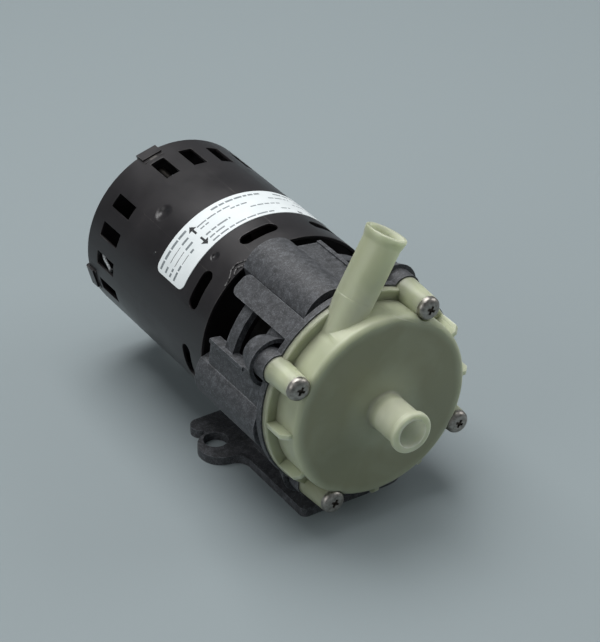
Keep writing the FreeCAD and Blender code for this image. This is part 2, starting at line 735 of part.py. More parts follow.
def leg_outline(crest, half_angle, base, y):
    """Cross-section of a leg: a rounded vault over the barrel, at the +X side."""
    a = math.radians(half_angle)
    left = FreeCAD.Vector(base * math.cos(a), y, SHAFT_HEIGHT - base * math.sin(a))
    right = FreeCAD.Vector(base * math.cos(a), y, SHAFT_HEIGHT + base * math.sin(a))
    top = FreeCAD.Vector(crest, y, SHAFT_HEIGHT)
    foot_left = FreeCAD.Vector(SHELF_R, y, left.z)
    foot_right = FreeCAD.Vector(SHELF_R, y, right.z)
    edges = [
        Part.LineSegment(foot_left, left).toShape(),
        Part.Arc(left, top, right).toShape(),
        Part.LineSegment(right, foot_right).toShape(),
        Part.LineSegment(foot_right, foot_left).toShape(),
    ]
    return Part.Face(Part.Wire(edges))


def leg():
    """Hollow vaulted leg that reaches back to the motor, with its bolt pad."""
    length = MOTOR_FRONT - HOOD_FRONT
    vault = leg_outline(LEG_CREST_R, LEG_HALF_ANGLE, LEG_BASE_R, HOOD_FRONT)
    vault = vault.extrude(FreeCAD.Vector(0, length, 0))
    pad = block(PAD_REACH, BARREL_R, PAD_FRONT, MOTOR_FRONT, -PAD_HALF_WIDTH, PAD_HALF_WIDTH)
    return vault, pad


def leg_hollow():
    """Space inside a leg, open to the front for the nut driver."""
    inner_half = LEG_HALF_ANGLE - math.degrees(LEG_WALL / LEG_BASE_R)
    hollow = leg_outline(LEG_CREST_R - LEG_WALL, inner_half, LEG_BASE_R - LEG_WALL / 2, HOOD_FRONT)
    return hollow.extrude(FreeCAD.Vector(0, PAD_FRONT - HOOD_FRONT, 0))


def panel():
    """Flat wall beside a leg, with the ridge along its free edge."""
    rear = MOTOR_FRONT - PANEL_GAP
    middle = (PANEL_FROM + PANEL_TO) / 2
    half = PANEL_FLAT * math.tan(math.radians((PANEL_TO - PANEL_FROM) / 2))
    wall = block(SHELF_R, PANEL_FLAT, RABBET_FLOOR, rear, -half, half)
    ridge = block(PANEL_FLAT - 1, PANEL_FLAT + RIDGE_HEIGHT, rear - RIDGE_LENGTH, rear,
                  -half, -half + RIDGE_WIDTH)
    return turned(wall.fuse(ridge), middle)


def flat_rib():
    """Flat pad on the other side of a leg, with a rounded rear end."""
    rear = MOTOR_FRONT - RIB_GAP
    middle = (RIB_FROM + RIB_TO) / 2
    half = RIB_FLAT * math.tan(math.radians((RIB_TO - RIB_FROM) / 2))
    pad = block(SHELF_R, RIB_FLAT, RABBET_FLOOR, rear, -half, half)
    corners = [
        e for e in pad.Edges
        if abs(e.CenterOfMass.y - rear) < 0.01 and abs(e.BoundBox.XLength) > 1
    ]
    return turned(pad.makeFillet(RIB_CORNER, corners), middle)


def hood():
    """Arched boss behind a screw lug, tapered to the rear and hollow round the lug."""
    start = polar(0, HOOD_CIRCLE, HOOD_FRONT)
    arch = Part.makeCone(HOOD_R, HOOD_REAR_R, HOOD_LENGTH, start, FORWARD)
    rear_edges = [
        e for e in arch.Edges
        if isinstance(e.Curve, Part.Circle) and abs(e.Curve.Center.y - HOOD_REAR) < 0.01
    ]
    arch = arch.makeFillet(2.0, rear_edges)
    pocket_end_r = HOOD_R - (HOOD_R - HOOD_REAR_R) * HOOD_POCKET / HOOD_LENGTH - HOOD_WALL
    pocket = Part.makeCone(HOOD_R - HOOD_WALL, pocket_end_r, HOOD_POCKET, start, FORWARD)
    lug = rod(0, SCREW_CIRCLE, FLANGE, HOOD_FRONT + HOOD_POCKET + 1, LUG_R)
    return arch.cut(pocket).fuse(lug)


def foot_ear(side):
    """Round pad and rear tab of one ear, on the -1 or +1 side, joined behind the hole."""
    pad = Part.makeCylinder(EAR_R, FOOT_THICK, FreeCAD.Vector(side * EAR_X, EAR_Y, 0))
    tab_y = FOOT_REAR - TAB_R
    tip = Part.makeCylinder(TAB_R, FOOT_THICK, FreeCAD.Vector(side * TAB_X, tab_y, 0))
    start = min(0, side * TAB_X)
    tab = Part.makeBox(TAB_X, 2 * TAB_R, FOOT_THICK, FreeCAD.Vector(start, FOOT_REAR - 2 * TAB_R, 0))
    start = min(0, side * BRIDGE_X)
    bridge = Part.makeBox(BRIDGE_X, tab_y - EAR_Y, FOOT_THICK, FreeCAD.Vector(start, EAR_Y, 0))
    return [pad, tip, tab, bridge]


def foot_outline():
    """Foot plate with a hold-down hole in each ear."""
    plate = Part.makeBox(2 * FOOT_HALF_WIDTH, FOOT_FRONT + FOOT_REAR, FOOT_THICK,
                         FreeCAD.Vector(-FOOT_HALF_WIDTH, -FOOT_FRONT, 0))
    for side, radius in ((-1, FOOT_LEFT_CORNER), (1, FOOT_RIGHT_CORNER)):
        corner = [
            e for e in plate.Edges
            if e.BoundBox.ZLength > FOOT_THICK / 2 and abs(e.CenterOfMass.y + FOOT_FRONT) < 0.01
            and abs(e.CenterOfMass.x - side * FOOT_HALF_WIDTH) < 0.01
        ]
        plate = plate.makeFillet(radius, corner)
    foot = plate.fuse(foot_ear(-1) + foot_ear(1)).removeSplitter()
    necks = [
        e for e in foot.Edges
        if e.BoundBox.ZLength > FOOT_THICK / 2 and e.BoundBox.YLength < 0.01
        and abs(abs(e.CenterOfMass.x) - FOOT_HALF_WIDTH) < 0.01
        and -EAR_R < e.CenterOfMass.y < 0
    ]
    foot = foot.makeFillet(EAR_NECK_R, necks)
    holes = [
        Part.makeCylinder(HOLE_R, FOOT_THICK, FreeCAD.Vector(side * HOLE_X, HOLE_Y, 0))
        for side in (-1, 1)
    ]
    return foot.cut(holes)


def foot_ribs():
    """Two low ribs that stiffen the rear of the foot under the motor."""
    y0 = MOTOR_FRONT + END_PLAY
    y1 = FOOT_REAR - FOOT_RIB_THICK
    return [
        Part.makeBox(FOOT_RIB_THICK, y1 - y0, FOOT_RIB_HEIGHT - FOOT_THICK / 2,
                     FreeCAD.Vector(x - FOOT_RIB_THICK / 2, y0, FOOT_THICK / 2))
        for x in (-FOOT_RIB_X, FOOT_RIB_X)
    ]


def foot_cores():
    """Two cored pockets in the sole under the pedestal that keep the walls even."""
    cores = []
    y0 = RABBET_FLOOR + CORE_WALL
    y1 = MOTOR_FRONT - PANEL_GAP - CORE_WALL
    half = PEDESTAL_HALF_WIDTH - CORE_WALL
    for x0, x1 in ((-half, -CORE_WALL / 2), (CORE_WALL / 2, half)):
        corner = FreeCAD.Vector(x0, y0, 0)
        cores.append(Part.makeBox(x1 - x0, y1 - y0, CORE_DEPTH, corner))
    return cores


def bracket_foot():
    """Foot of the bracket moulding: plate, holed ears and ribs, cored from below."""
    return foot_outline().fuse(foot_ribs()).cut(foot_cores()).removeSplitter()


def motor_bracket():
    """Glass-filled moulding between the pump end and the motor, on a pedestal over its foot."""
    front_ring = ring(FLANGE + 1, HOOD_REAR, BARREL_R)
    flange_plate = ring(FLANGE, RABBET_FLOOR, FLANGE_R)
    band = ring(BAND_FRONT, BAND_END, BAND_R)
    vault, pad = leg()
    parts = [flange_plate, band]
    parts += [turned(vault, a) for a in quarters(LEG_ANGLE)]
    parts += [turned(panel(), a) for a in quarters(0)]
    parts += [turned(flat_rib(), a) for a in quarters(0)]
    parts += [turned(hood(), a) for a in quarters(SCREW_FIRST)]
    pedestal = block(-PEDESTAL_HALF_WIDTH, PEDESTAL_HALF_WIDTH, RABBET_FLOOR,
                     MOTOR_FRONT - PANEL_GAP, FOOT_THICK - SHAFT_HEIGHT, PEDESTAL_OVERLAP - SHELF_R)
    parts.append(pedestal)
    moulding = front_ring.fuse(parts)
    bore = ring(FLANGE + FLANGE_THICK, MOTOR_FRONT + 1, BARREL_BORE_R)
    moulding = moulding.cut([bore, ring(FLANGE, FLANGE + FLANGE_THICK, SHELF_R)])
    moulding = moulding.cut(ring(FLANGE, RABBET_FLOOR, CAN_FLANGE_R + RABBET_CLEARANCE))
    moulding = moulding.cut([turned(leg_hollow(), a) for a in quarters(LEG_ANGLE)])
    moulding = moulding.cut(foot_cores())
    moulding = moulding.fuse([turned(pad, a) for a in quarters(LEG_ANGLE)])
    holes = []
    for a in quarters(LEG_ANGLE):
        holes.append(rod(a, BOLT_CIRCLE, PAD_FRONT, MOTOR_FRONT, BOLT_R + HOLE_CLEARANCE))
    for a in quarters(SCREW_FIRST):
        depth = SCREW_ENGAGEMENT + END_PLAY
        holes.append(rod(a, SCREW_CIRCLE, FLANGE, FLANGE + depth, SCREW_R + HOLE_CLEARANCE))
        holes.append(rod(a, SCREW_CIRCLE, RABBET_FLOOR + END_PLAY,
                         RABBET_FLOOR + END_PLAY + INSERT_LENGTH, INSERT_R + SNUG))
    return moulding.cut(holes).removeSplitter()


def motor_shell():
    """Drawn steel tube, with rear windows in groups of four and round-ended front vents."""
    shell = ring(MOTOR_FRONT, SHELL_REAR, SHELL_R, SHELL_BORE_R)
    cuts = []
    window = block(SHELL_BORE_R - 3, SHELL_R + 1, WINDOW_REAR - WINDOW_LENGTH, WINDOW_REAR,
                   -WINDOW_WIDTH / 2, WINDOW_WIDTH / 2)
    for group in quarters(WINDOW_GROUP):
        cuts += [turned(window, group + WINDOW_STEP * (k - 1.5)) for k in range(4)]
    y0 = MOTOR_FRONT + VENT_FROM
    end_angle = VENT_SPAN / 2 - math.degrees(VENT_WIDTH / 2 / SHELL_R)
    for k in range(VENT_COUNT):
        centre = VENT_FIRST + VENT_STEP * k
        cuts.append(sector(y0, y0 + VENT_WIDTH, SHELL_BORE_R - 1, SHELL_R + 1,
                           centre - end_angle, centre + end_angle))
        for side in (-1, 1):
            start = FreeCAD.Vector(SHELL_BORE_R - 1, y0 + VENT_WIDTH / 2, SHAFT_HEIGHT)
            end = Part.makeCylinder(VENT_WIDTH / 2, SHELL_WALL + 2, start, FreeCAD.Vector(1, 0, 0))
            cuts.append(turned(end, centre + side * end_angle))
    return shell.cut(cuts)


def front_end_bell():
    """Cast bell with the front bearing's hub, flush with the shell's front rim."""
    rim_r = SHELL_BORE_R - SNUG
    hub_r = BEARING_R + HUB_WALL
    bell = spun([
        (MOTOR_FRONT, BEARING_R),
        (MOTOR_FRONT, hub_r),
        (BELL_PLATE_FRONT, hub_r),
        (BELL_PLATE_FRONT, rim_r),
        (MOTOR_FRONT + FRONT_BELL_RIM, rim_r),
        (MOTOR_FRONT + FRONT_BELL_RIM, rim_r - BELL_WALL),
        (BELL_PLATE_FRONT + FRONT_BELL_PLATE, rim_r - BELL_WALL),
        (BELL_PLATE_FRONT + FRONT_BELL_PLATE, hub_r),
        (FRONT_HUB_REAR, hub_r),
        (FRONT_HUB_REAR, BEARING_R),
    ])
    pads = [
        rod(a, BOLT_CIRCLE, MOTOR_FRONT, BELL_PLATE_FRONT + 1, BELL_PAD_R)
        for a in quarters(LEG_ANGLE)
    ]
    holes = [
        rod(a, BOLT_CIRCLE, MOTOR_FRONT, MOTOR_FRONT + FRONT_BELL_RIM, BOLT_R + HOLE_CLEARANCE)
        for a in quarters(LEG_ANGLE)
    ]
    return bell.fuse(pads).cut(holes).removeSplitter()


def rear_end_bell():
    """Pressed plate with cooling slots, clamped by the through bolts, with a closed hub."""
    rim_r = SHELL_BORE_R - SNUG
    hub_r = BEARING_R + HUB_WALL
    bell = spun([
        (REAR_HUB_FRONT, BEARING_R),
        (REAR_HUB_FRONT, hub_r),
        (REAR_PLATE_FRONT, hub_r),
        (REAR_PLATE_FRONT, rim_r),
        (REAR_PLATE_REAR, rim_r),
        (REAR_PLATE_REAR, hub_r),
        (REAR_HUB_REAR, hub_r),
        (REAR_HUB_REAR, 0),
        (REAR_HUB_REAR - REAR_CAP, 0),
        (REAR_HUB_REAR - REAR_CAP, BEARING_R),
    ])
    slots = [
        sector(REAR_PLATE_FRONT, REAR_PLATE_REAR, BELL_SLOT_INNER_R, BELL_SLOT_OUTER_R,
               a - BELL_SLOT_HALF_ANGLE, a + BELL_SLOT_HALF_ANGLE)
        for a in (LEG_ANGLE, LEG_ANGLE + 90, LEG_ANGLE + 270)
    ]
    slots += [
        rod(a, BOLT_CIRCLE, REAR_PLATE_FRONT, REAR_PLATE_REAR, BOLT_R + HOLE_CLEARANCE)
        for a in quarters(LEG_ANGLE)
    ]
    slots.append(rod(GROMMET_ANGLE, GROMMET_CIRCLE, REAR_PLATE_FRONT, REAR_PLATE_REAR,
                     GROMMET_R + SNUG))
    return bell.cut(slots)


def through_bolts():
    """Four long bolts that clamp the bells, the shell and the bracket together."""
    head = rod(0, BOLT_CIRCLE, REAR_PLATE_REAR, REAR_PLATE_REAR + BOLT_HEAD_HEIGHT, BOLT_HEAD_R)
    end = PAD_FRONT - NUT_HEIGHT - BOLT_END
    shank = rod(0, BOLT_CIRCLE, end, REAR_PLATE_REAR + 1, BOLT_R)
    bolt = head.fuse(shank)
    return Part.makeCompound([turned(bolt, a) for a in quarters(LEG_ANGLE)])


def through_bolt_nuts():
    """Four hexagon nuts in the hollow legs of the bracket."""
    corners = [
        FreeCAD.Vector(BOLT_CIRCLE + NUT_R * math.cos(math.radians(60 * k)), PAD_FRONT - NUT_HEIGHT,
                       SHAFT_HEIGHT + NUT_R * math.sin(math.radians(60 * k)))
        for k in range(6)
    ]
    nut = Part.Face(Part.makePolygon(corners + corners[:1])).extrude(FreeCAD.Vector(0, NUT_HEIGHT, 0))
    nut = nut.cut(rod(0, BOLT_CIRCLE, PAD_FRONT - NUT_HEIGHT, PAD_FRONT, BOLT_R + SNUG))
    return Part.makeCompound([turned(nut, a) for a in quarters(LEG_ANGLE)])


def rim_clips():
    """Four spring-steel clips over the shell's rear rim, each pressing on the rear bell."""
    half = CLIP_WIDTH / 2
    outer_r = SHELL_R + SNUG
    inner_r = SHELL_BORE_R - SNUG
    y0 = SHELL_REAR - CLIP_REACH
    y1 = SHELL_REAR + CLIP_RISE
    clip = block(inner_r - CLIP_THICK, outer_r + CLIP_THICK, REAR_PLATE_REAR, y1, -half, half)
    edges = [
        e for e in clip.Edges
        if abs(e.CenterOfMass.y - y1) < 0.01 and e.BoundBox.ZLength > half
    ]
    clip = clip.makeFillet(CLIP_RISE * 0.8, edges)
    slot = ring(REAR_PLATE_REAR - 1, SHELL_REAR + SNUG, outer_r, inner_r)
    trim = block(outer_r, outer_r + 2 * CLIP_THICK, REAR_PLATE_REAR - 1, y0, -half, half)
    clip = clip.cut([slot, trim])
    return Part.makeCompound([turned(clip, a) for a in quarters(LEG_ANGLE)])


def sleeve_bearing(front):
    """Sintered bronze sleeve with a barrelled outside."""
    middle = front + BEARING_LENGTH / 2
    sag = 1.2
    edge_r = BEARING_R - sag
    z = SHAFT_HEIGHT
    edges = [
        Part.LineSegment(FreeCAD.Vector(SHAFT_R + RUNNING_FIT, front, z),
                         FreeCAD.Vector(edge_r, front, z)).toShape(),
        Part.Arc(FreeCAD.Vector(edge_r, front, z), FreeCAD.Vector(BEARING_R - SNUG, middle, z),
                 FreeCAD.Vector(edge_r, front + BEARING_LENGTH, z)).toShape(),
        Part.LineSegment(FreeCAD.Vector(edge_r, front + BEARING_LENGTH, z),
                         FreeCAD.Vector(SHAFT_R + RUNNING_FIT, front + BEARING_LENGTH, z)).toShape(),
        Part.LineSegment(FreeCAD.Vector(SHAFT_R + RUNNING_FIT, front + BEARING_LENGTH, z),
                         FreeCAD.Vector(SHAFT_R + RUNNING_FIT, front, z)).toShape(),
    ]
    face = Part.Face(Part.Wire(edges))
    return face.revolve(FreeCAD.Vector(0, 0, SHAFT_HEIGHT), FORWARD, 360)


def felt_and_retainer(felt_start, retainer_start):
    """Oiled felt beside a bearing and the spring ring that holds it."""
    felt = ring(felt_start, felt_start + FELT_THICK, BEARING_R - SNUG, RETAINER_BORE_R)
    retainer = ring(retainer_start, retainer_start + RETAINER_THICK, BEARING_R - SNUG,
                    RETAINER_BORE_R)
    return felt, retainer


def stator_core():
    """Stack of slotted steel laminations pressed into the shell."""
    core = ring(CORE_FRONT, CORE_REAR, SHELL_BORE_R - SNUG, STATOR_BORE_R)
    slot = block(SLOT_INNER_R, SLOT_OUTER_R, CORE_FRONT, CORE_REAR, -SLOT_WIDTH / 2, SLOT_WIDTH / 2)
    mouth = block(STATOR_BORE_R - 1, SLOT_INNER_R + 1, CORE_FRONT, CORE_REAR,
                  -SLOT_MOUTH / 2, SLOT_MOUTH / 2)
    cuts = []
    for k in range(SLOT_COUNT):
        angle = 360.0 / SLOT_COUNT * k
        cuts += [turned(slot, angle), turned(mouth, angle)]
    notch = BOLT_R + 2 * HOLE_CLEARANCE
    for a in quarters(LEG_ANGLE):
        groove = block(BOLT_CIRCLE, SHELL_R, CORE_FRONT, CORE_REAR, -notch, notch)
        cuts += [turned(groove, a), rod(a, BOLT_CIRCLE, CORE_FRONT, CORE_REAR, notch)]
    return core.cut(cuts)


def stator_winding():
    """Enamelled copper coils: bars through the slots and a bundle at each end."""
    low = CORE_FRONT - COIL_CLEARANCE
    high = CORE_REAR + COIL_CLEARANCE
    inset = COIL_CLEARANCE
    bundles = []
    for y0, y1 in ((low - COIL_END, low), (high, high + COIL_END)):
        bundle = ring(y0, y1, COIL_OUTER_R, COIL_INNER_R)
        bundles.append(bundle.makeFillet(3.0, near_circle(bundle, y0, COIL_OUTER_R)
                                         + near_circle(bundle, y1, COIL_OUTER_R)))
    bar = block(SLOT_INNER_R + inset, SLOT_OUTER_R - inset, low - 1, high + 1,
                -SLOT_WIDTH / 2 + inset, SLOT_WIDTH / 2 - inset)
    bars = [turned(bar, 360.0 / SLOT_COUNT * k) for k in range(SLOT_COUNT)]
    return bundles[0].fuse([bundles[1]] + bars)


def cage_bar_angles():
    """Angles of the rotor's cage bars."""
    return [360.0 / CAGE_BAR_COUNT * k for k in range(CAGE_BAR_COUNT)]


def rotor_core():
    """Steel laminations of the rotor."""
    bar_circle = ROTOR_R - 2 * CAGE_BAR_R
    core = ring(CORE_FRONT, CORE_REAR, ROTOR_R, SHAFT_R + SNUG)
    return core.cut([
        rod(a, bar_circle, CORE_FRONT, CORE_REAR, CAGE_BAR_R + SNUG) for a in cage_bar_angles()
    ])


def rotor_cage():
    """Cast aluminium squirrel cage: bars and two end rings."""
    bar_circle = ROTOR_R - 2 * CAGE_BAR_R
    outer = ROTOR_R - AIR_GAP
    inner = outer - CAGE_RING_THICK
    rings = [
        ring(CORE_FRONT - CAGE_RING, CORE_FRONT, outer, inner),
        ring(CORE_REAR, CORE_REAR + CAGE_RING, outer, inner),
    ]
    bars = [
        rod(a, bar_circle, CORE_FRONT - 1, CORE_REAR + 1, CAGE_BAR_R) for a in cage_bar_angles()
    ]
    return rings[0].fuse([rings[1]] + bars)


def motor_shaft():
    """Ground steel shaft from the cup's hub to the rear bearing."""
    rear = REAR_BEARING_REAR + REAR_CAP / 2
    shaft = ring(SHAFT_FRONT, rear, SHAFT_R)
    return shaft.makeChamfer(0.5, near_circle(shaft, SHAFT_FRONT, SHAFT_R)
                             + near_circle(shaft, rear, SHAFT_R))


def shaft_spacers():
    """Thrust washer and spacer tube each side of the rotor, turning with the shaft."""
    bore = SHAFT_R + SNUG
    front = FRONT_HUB_REAR + END_PLAY
    pieces = [
        ring(front, front + SHAFT_WASHER_THICK, SHAFT_WASHER_R, bore),
        ring(FAN_REAR, FAN_REAR + SHAFT_WASHER_THICK, SHAFT_WASHER_R, bore),
    ]
    return Part.makeCompound(pieces)


def rotor_sleeves():
    """Two spacer sleeves between the rotor, the fan and the front thrust washer."""
    bore = SHAFT_R + SNUG
    outer = SHAFT_WASHER_R - 1
    front = FRONT_HUB_REAR + END_PLAY + SHAFT_WASHER_THICK
    pieces = [
        ring(front, CORE_FRONT, outer, bore),
        ring(CORE_REAR, FAN_FRONT, outer, bore),
    ]
    return Part.makeCompound(pieces)


def cooling_fan():
    """Moulded radial fan behind the rear windows."""
    hub = ring(FAN_FRONT, FAN_REAR, FAN_HUB_R)
    disc = ring(FAN_FRONT, FAN_FRONT + FAN_DISC, FAN_R)
    inner = SHAFT_R + 1
    blade = block(inner, FAN_R, FAN_FRONT, FAN_REAR - FAN_GAP, -FAN_BLADE / 2, FAN_BLADE / 2)
    blades = [turned(blade, 360.0 / FAN_BLADES * k) for k in range(FAN_BLADES)]
    fan = hub.fuse([disc] + blades)
    return fan.cut(ring(FAN_FRONT, FAN_REAR, SHAFT_R + SNUG))


def nameplate():
    """Thin printed film round the top of the shell, with rounded corners."""
    inner = SHELL_R + SNUG
    outer = inner + PLATE_THICK
    y0 = MOTOR_FRONT + PLATE_FROM
    y1 = y0 + PLATE_WIDTH
    film = sector(y0, y1, inner, outer, PLATE_START, PLATE_END)
    cuts = []
    corner_angle = math.degrees(PLATE_CORNER / SHELL_R)
    for angle, side in ((PLATE_START + corner_angle, -1), (PLATE_END - corner_angle, 1)):
        for edge, inward in ((y0, 1), (y1, -1)):
            centre_y = edge + inward * PLATE_CORNER
            low_y = min(edge - inward, centre_y)
            low_z = min(0, side * (PLATE_CORNER + 1))
            square = block(inner - 1, outer + 1, low_y, low_y + PLATE_CORNER + 1,
                           low_z, low_z + PLATE_CORNER + 1)
            start = FreeCAD.Vector(inner - 2, centre_y, SHAFT_HEIGHT)
            disc = Part.makeCylinder(PLATE_CORNER, PLATE_THICK + 4, start, FreeCAD.Vector(1, 0, 0))
            cuts.append(turned(square.cut(disc), angle))
    return film.cut(cuts)


def lead_grommet():
    """Rubber grommet in the rear bell for the motor's leads."""
    y0 = REAR_PLATE_FRONT
    y1 = REAR_PLATE_REAR
    body = rod(GROMMET_ANGLE, GROMMET_CIRCLE, y0 - GROMMET_LIP, y1 + GROMMET_LIP, GROMMET_R)
    lips = [
        rod(GROMMET_ANGLE, GROMMET_CIRCLE, y0 - GROMMET_LIP, y0 - SNUG, GROMMET_R + GROMMET_LIP),
        rod(GROMMET_ANGLE, GROMMET_CIRCLE, y1 + SNUG, y1 + GROMMET_LIP, GROMMET_R + GROMMET_LIP),
    ]
    bore = rod(GROMMET_ANGLE, GROMMET_CIRCLE, y0 - GROMMET_LIP, y1 + GROMMET_LIP, GROMMET_BORE_R)
    return body.fuse(lips).cut(bore)


def all_pieces():
    """Every node of the pump with its solid or group of solids."""
    front_felt, front_retainer = felt_and_retainer(FRONT_FELT, FRONT_FELT + FELT_THICK)
    rear_felt, rear_retainer = felt_and_retainer(REAR_BEARING_FRONT - FELT_THICK, REAR_HUB_FRONT)
    return {
        "front_housing": front_housing(),
        "housing_o_ring": housing_o_ring(),
        "housing_screws": housing_screws(),
        "screw_inserts": screw_inserts(),
        "impeller": impeller(),
        "driven_magnet": driven_magnet(),
        "impeller_bushing": impeller_bushing(),
        "spindle": spindle(),
        "front_thrust_washer": front_thrust_washer(),
        "rear_thrust_washer": rear_thrust_washer(),
        "rear_housing": rear_housing(),
        "drive_cup": drive_cup(),
        "drive_magnet": drive_magnet(),
        "hub_set_screws": hub_set_screws(),
        "motor_bracket": motor_bracket(),
        "bracket_foot": bracket_foot(),
        "motor_shell": motor_shell(),
        "front_end_bell": front_end_bell(),
        "rear_end_bell": rear_end_bell(),
        "through_bolts": through_bolts(),
        "through_bolt_nuts": through_bolt_nuts(),
        "rim_clips": rim_clips(),
        "front_bearing": sleeve_bearing(BEARING_FRONT),
        "rear_bearing": sleeve_bearing(REAR_BEARING_FRONT),
        "front_oil_felt": front_felt,
        "rear_oil_felt": rear_felt,
        "front_bearing_retainer": front_retainer,
        "rear_bearing_retainer": rear_retainer,
        "stator_core": stator_core(),
        "stator_winding": stator_winding(),
        "rotor_core": rotor_core(),
        "rotor_cage": rotor_cage(),
        "motor_shaft": motor_shaft(),
        "shaft_thrust_washers": shaft_spacers(),
        "rotor_sleeves": rotor_sleeves(),
        "cooling_fan": cooling_fan(),
        "nameplate": nameplate(),
        "lead_grommet": lead_grommet(),
    }


os.makedirs("parts", exist_ok=True)
for node, shape in all_pieces().items():
    shape.exportStep("parts/" + node + ".step")
    print(node, len(shape.Solids), round(shape.Volume, 1), shape.isValid())
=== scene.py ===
import math
import random

import bmesh
import bpy
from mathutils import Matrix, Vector


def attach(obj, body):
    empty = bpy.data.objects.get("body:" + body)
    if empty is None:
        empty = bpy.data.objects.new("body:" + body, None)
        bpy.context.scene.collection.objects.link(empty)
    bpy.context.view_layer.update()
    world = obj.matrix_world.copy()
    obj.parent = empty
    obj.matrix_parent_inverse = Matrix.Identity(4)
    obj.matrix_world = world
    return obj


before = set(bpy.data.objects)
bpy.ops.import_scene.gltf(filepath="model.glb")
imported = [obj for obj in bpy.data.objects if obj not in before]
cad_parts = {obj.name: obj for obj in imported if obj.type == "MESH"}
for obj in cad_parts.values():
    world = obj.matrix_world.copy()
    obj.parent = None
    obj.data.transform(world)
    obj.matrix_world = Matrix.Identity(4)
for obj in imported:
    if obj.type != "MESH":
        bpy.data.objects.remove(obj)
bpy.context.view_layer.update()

# The studio: a wide sheet of pale grey paper on a table, one broad soft box overhead, a weaker one
# on each side, and the camera looking down on the pump from the front left.
scene = bpy.context.scene
scene.view_settings.view_transform = "Standard"

camera_data = bpy.data.cameras.new("camera")
camera_data.lens = 135.9
camera_data.sensor_width = 36.0
camera = bpy.data.objects.new("camera", camera_data)
camera.location = (-0.44643, -0.71229, 0.59734)
camera.rotation_euler = Vector((0.45114, 0.70871, -0.54239)).to_track_quat("-Z", "Y").to_euler()
scene.collection.objects.link(camera)
scene.camera = camera


def linear(code):
    """Linear RGBA of an sRGB hex value."""
    parts = [int(code[k:k + 2], 16) / 255 for k in (0, 2, 4)]
    return [p / 12.92 if p <= 0.04045 else ((p + 0.055) / 1.055) ** 2.4 for p in parts] + [1.0]


def add_node(tree, kind, inputs=None, **settings):
    """Add a node, set its options, and set or link its inputs."""
    node = tree.nodes.new(kind)
    for name, value in settings.items():
        setattr(node, name, value)
    for name, value in (inputs or {}).items():
        if isinstance(value, bpy.types.NodeSocket):
            tree.links.new(value, node.inputs[name])
        else:
            node.inputs[name].default_value = value
    return node


world = bpy.data.worlds.new("studio air")
world.use_nodes = True
world.node_tree.nodes.clear()
air = add_node(world.node_tree, "ShaderNodeBackground", {"Color": linear("dfe6ea"), "Strength": 0.27})
sky = add_node(world.node_tree, "ShaderNodeOutputWorld")
world.node_tree.links.new(air.outputs[0], sky.inputs["Surface"])
scene.world = world

for lamp_name, lamp_place, lamp_aim, lamp_size, lamp_power in (
    ("overhead_box", (0.0, 0.32, 1.15), (0.0, 0.0, 0.05), 0.95, 14.5),
    ("right_box", (1.1, -0.35, 0.75), (0.0, -0.03, 0.05), 0.7, 4.0),
    ("left_box", (-1.15, -0.15, 0.6), (0.0, 0.0, 0.05), 0.8, 3.0),
):
    lamp_data = bpy.data.lights.new(lamp_name, "AREA")
    lamp_data.size = lamp_size
    lamp_data.energy = lamp_power
    lamp = bpy.data.objects.new(lamp_name, lamp_data)
    lamp.location = lamp_place
    aim = Vector(lamp_aim) - Vector(lamp_place)
    lamp.rotation_euler = aim.to_track_quat("-Z", "Y").to_euler()
    scene.collection.objects.link(lamp)

MM = 0.001


# A grit finer than a third of a millimetre doesn't show from here, so the finer ones, such as those
# of magnets, ceramic, carbon, rubber and ink, are drawn at that size or coarser.
def grain(size):
    """Scale of a pattern whose grains are this many millimetres across."""
    return 1 / (size * MM)


def new_material(name):
    """An empty node material, its tree, its object coordinates and its output's surface socket."""
    material = bpy.data.materials.new(name)
    material.use_nodes = True
    tree = material.node_tree
    tree.nodes.clear()
    place = add_node(tree, "ShaderNodeTexCoord").outputs["Object"]
    surface = add_node(tree, "ShaderNodeOutputMaterial").inputs["Surface"]
    return material, tree, place, surface


# The paper is drawn with fibres of about a millimetre, coarser than real, so that they show.
paper, tree, place, surface = new_material("matt grey backdrop paper")
paper_grain = add_node(tree, "ShaderNodeTexNoise", {
    "Vector": place, "Scale": grain(1.111), "Detail": 3.0})
paper_bump = add_node(tree, "ShaderNodeBump", {
    "Height": paper_grain.outputs["Fac"], "Strength": 0.05, "Distance": 0.1 * MM})
paper_shader = add_node(tree, "ShaderNodeBsdfPrincipled", {
    "Base Color": linear("8b9598"), "Roughness": 0.7, "Normal": paper_bump.outputs["Normal"]})
tree.links.new(paper_shader.outputs[0], surface)

floor_form = bmesh.new()
bmesh.ops.create_grid(floor_form, x_segments=2, y_segments=2, size=6.0)
floor_mesh = bpy.data.meshes.new("floor")
floor_form.to_mesh(floor_mesh)
floor_form.free()
floor_mesh.materials.append(paper)
floor = bpy.data.objects.new("floor", floor_mesh)
scene.collection.objects.link(floor)

# The motor bracket: one injection moulding of dark glass-filled plastic, with its foot, lugs and
# hollow legs. The glass near the skin gives grey swirls and specks, and a dry, even sheen.
EDGE_BREAK = 0.35 * MM


def dress_node(name, material, edge=0.0, sharp=38.0):
    """Give a CAD node its material, joined and smoothed faces, and a small radius on its edges."""
    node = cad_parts[name]
    for k in range(len(node.material_slots)):
        node.material_slots[k].material = material
    node.data.polygons.foreach_set("use_smooth", [True] * len(node.data.polygons))
    weld = node.modifiers.new("weld", "WELD")
    weld.merge_threshold = 0.005 * MM
    if edge:
        bevel = node.modifiers.new("edge radius", "BEVEL")
        bevel.width = edge
        bevel.segments = 2
        bevel.limit_method = "ANGLE"
        bevel.angle_limit = math.radians(sharp)
    split = node.modifiers.new("split", "EDGE_SPLIT")
    split.split_angle = math.radians(sharp)
    even = node.modifiers.new("even normals", "WEIGHTED_NORMAL")
    even.mode = "FACE_AREA_WITH_ANGLE"
    return node


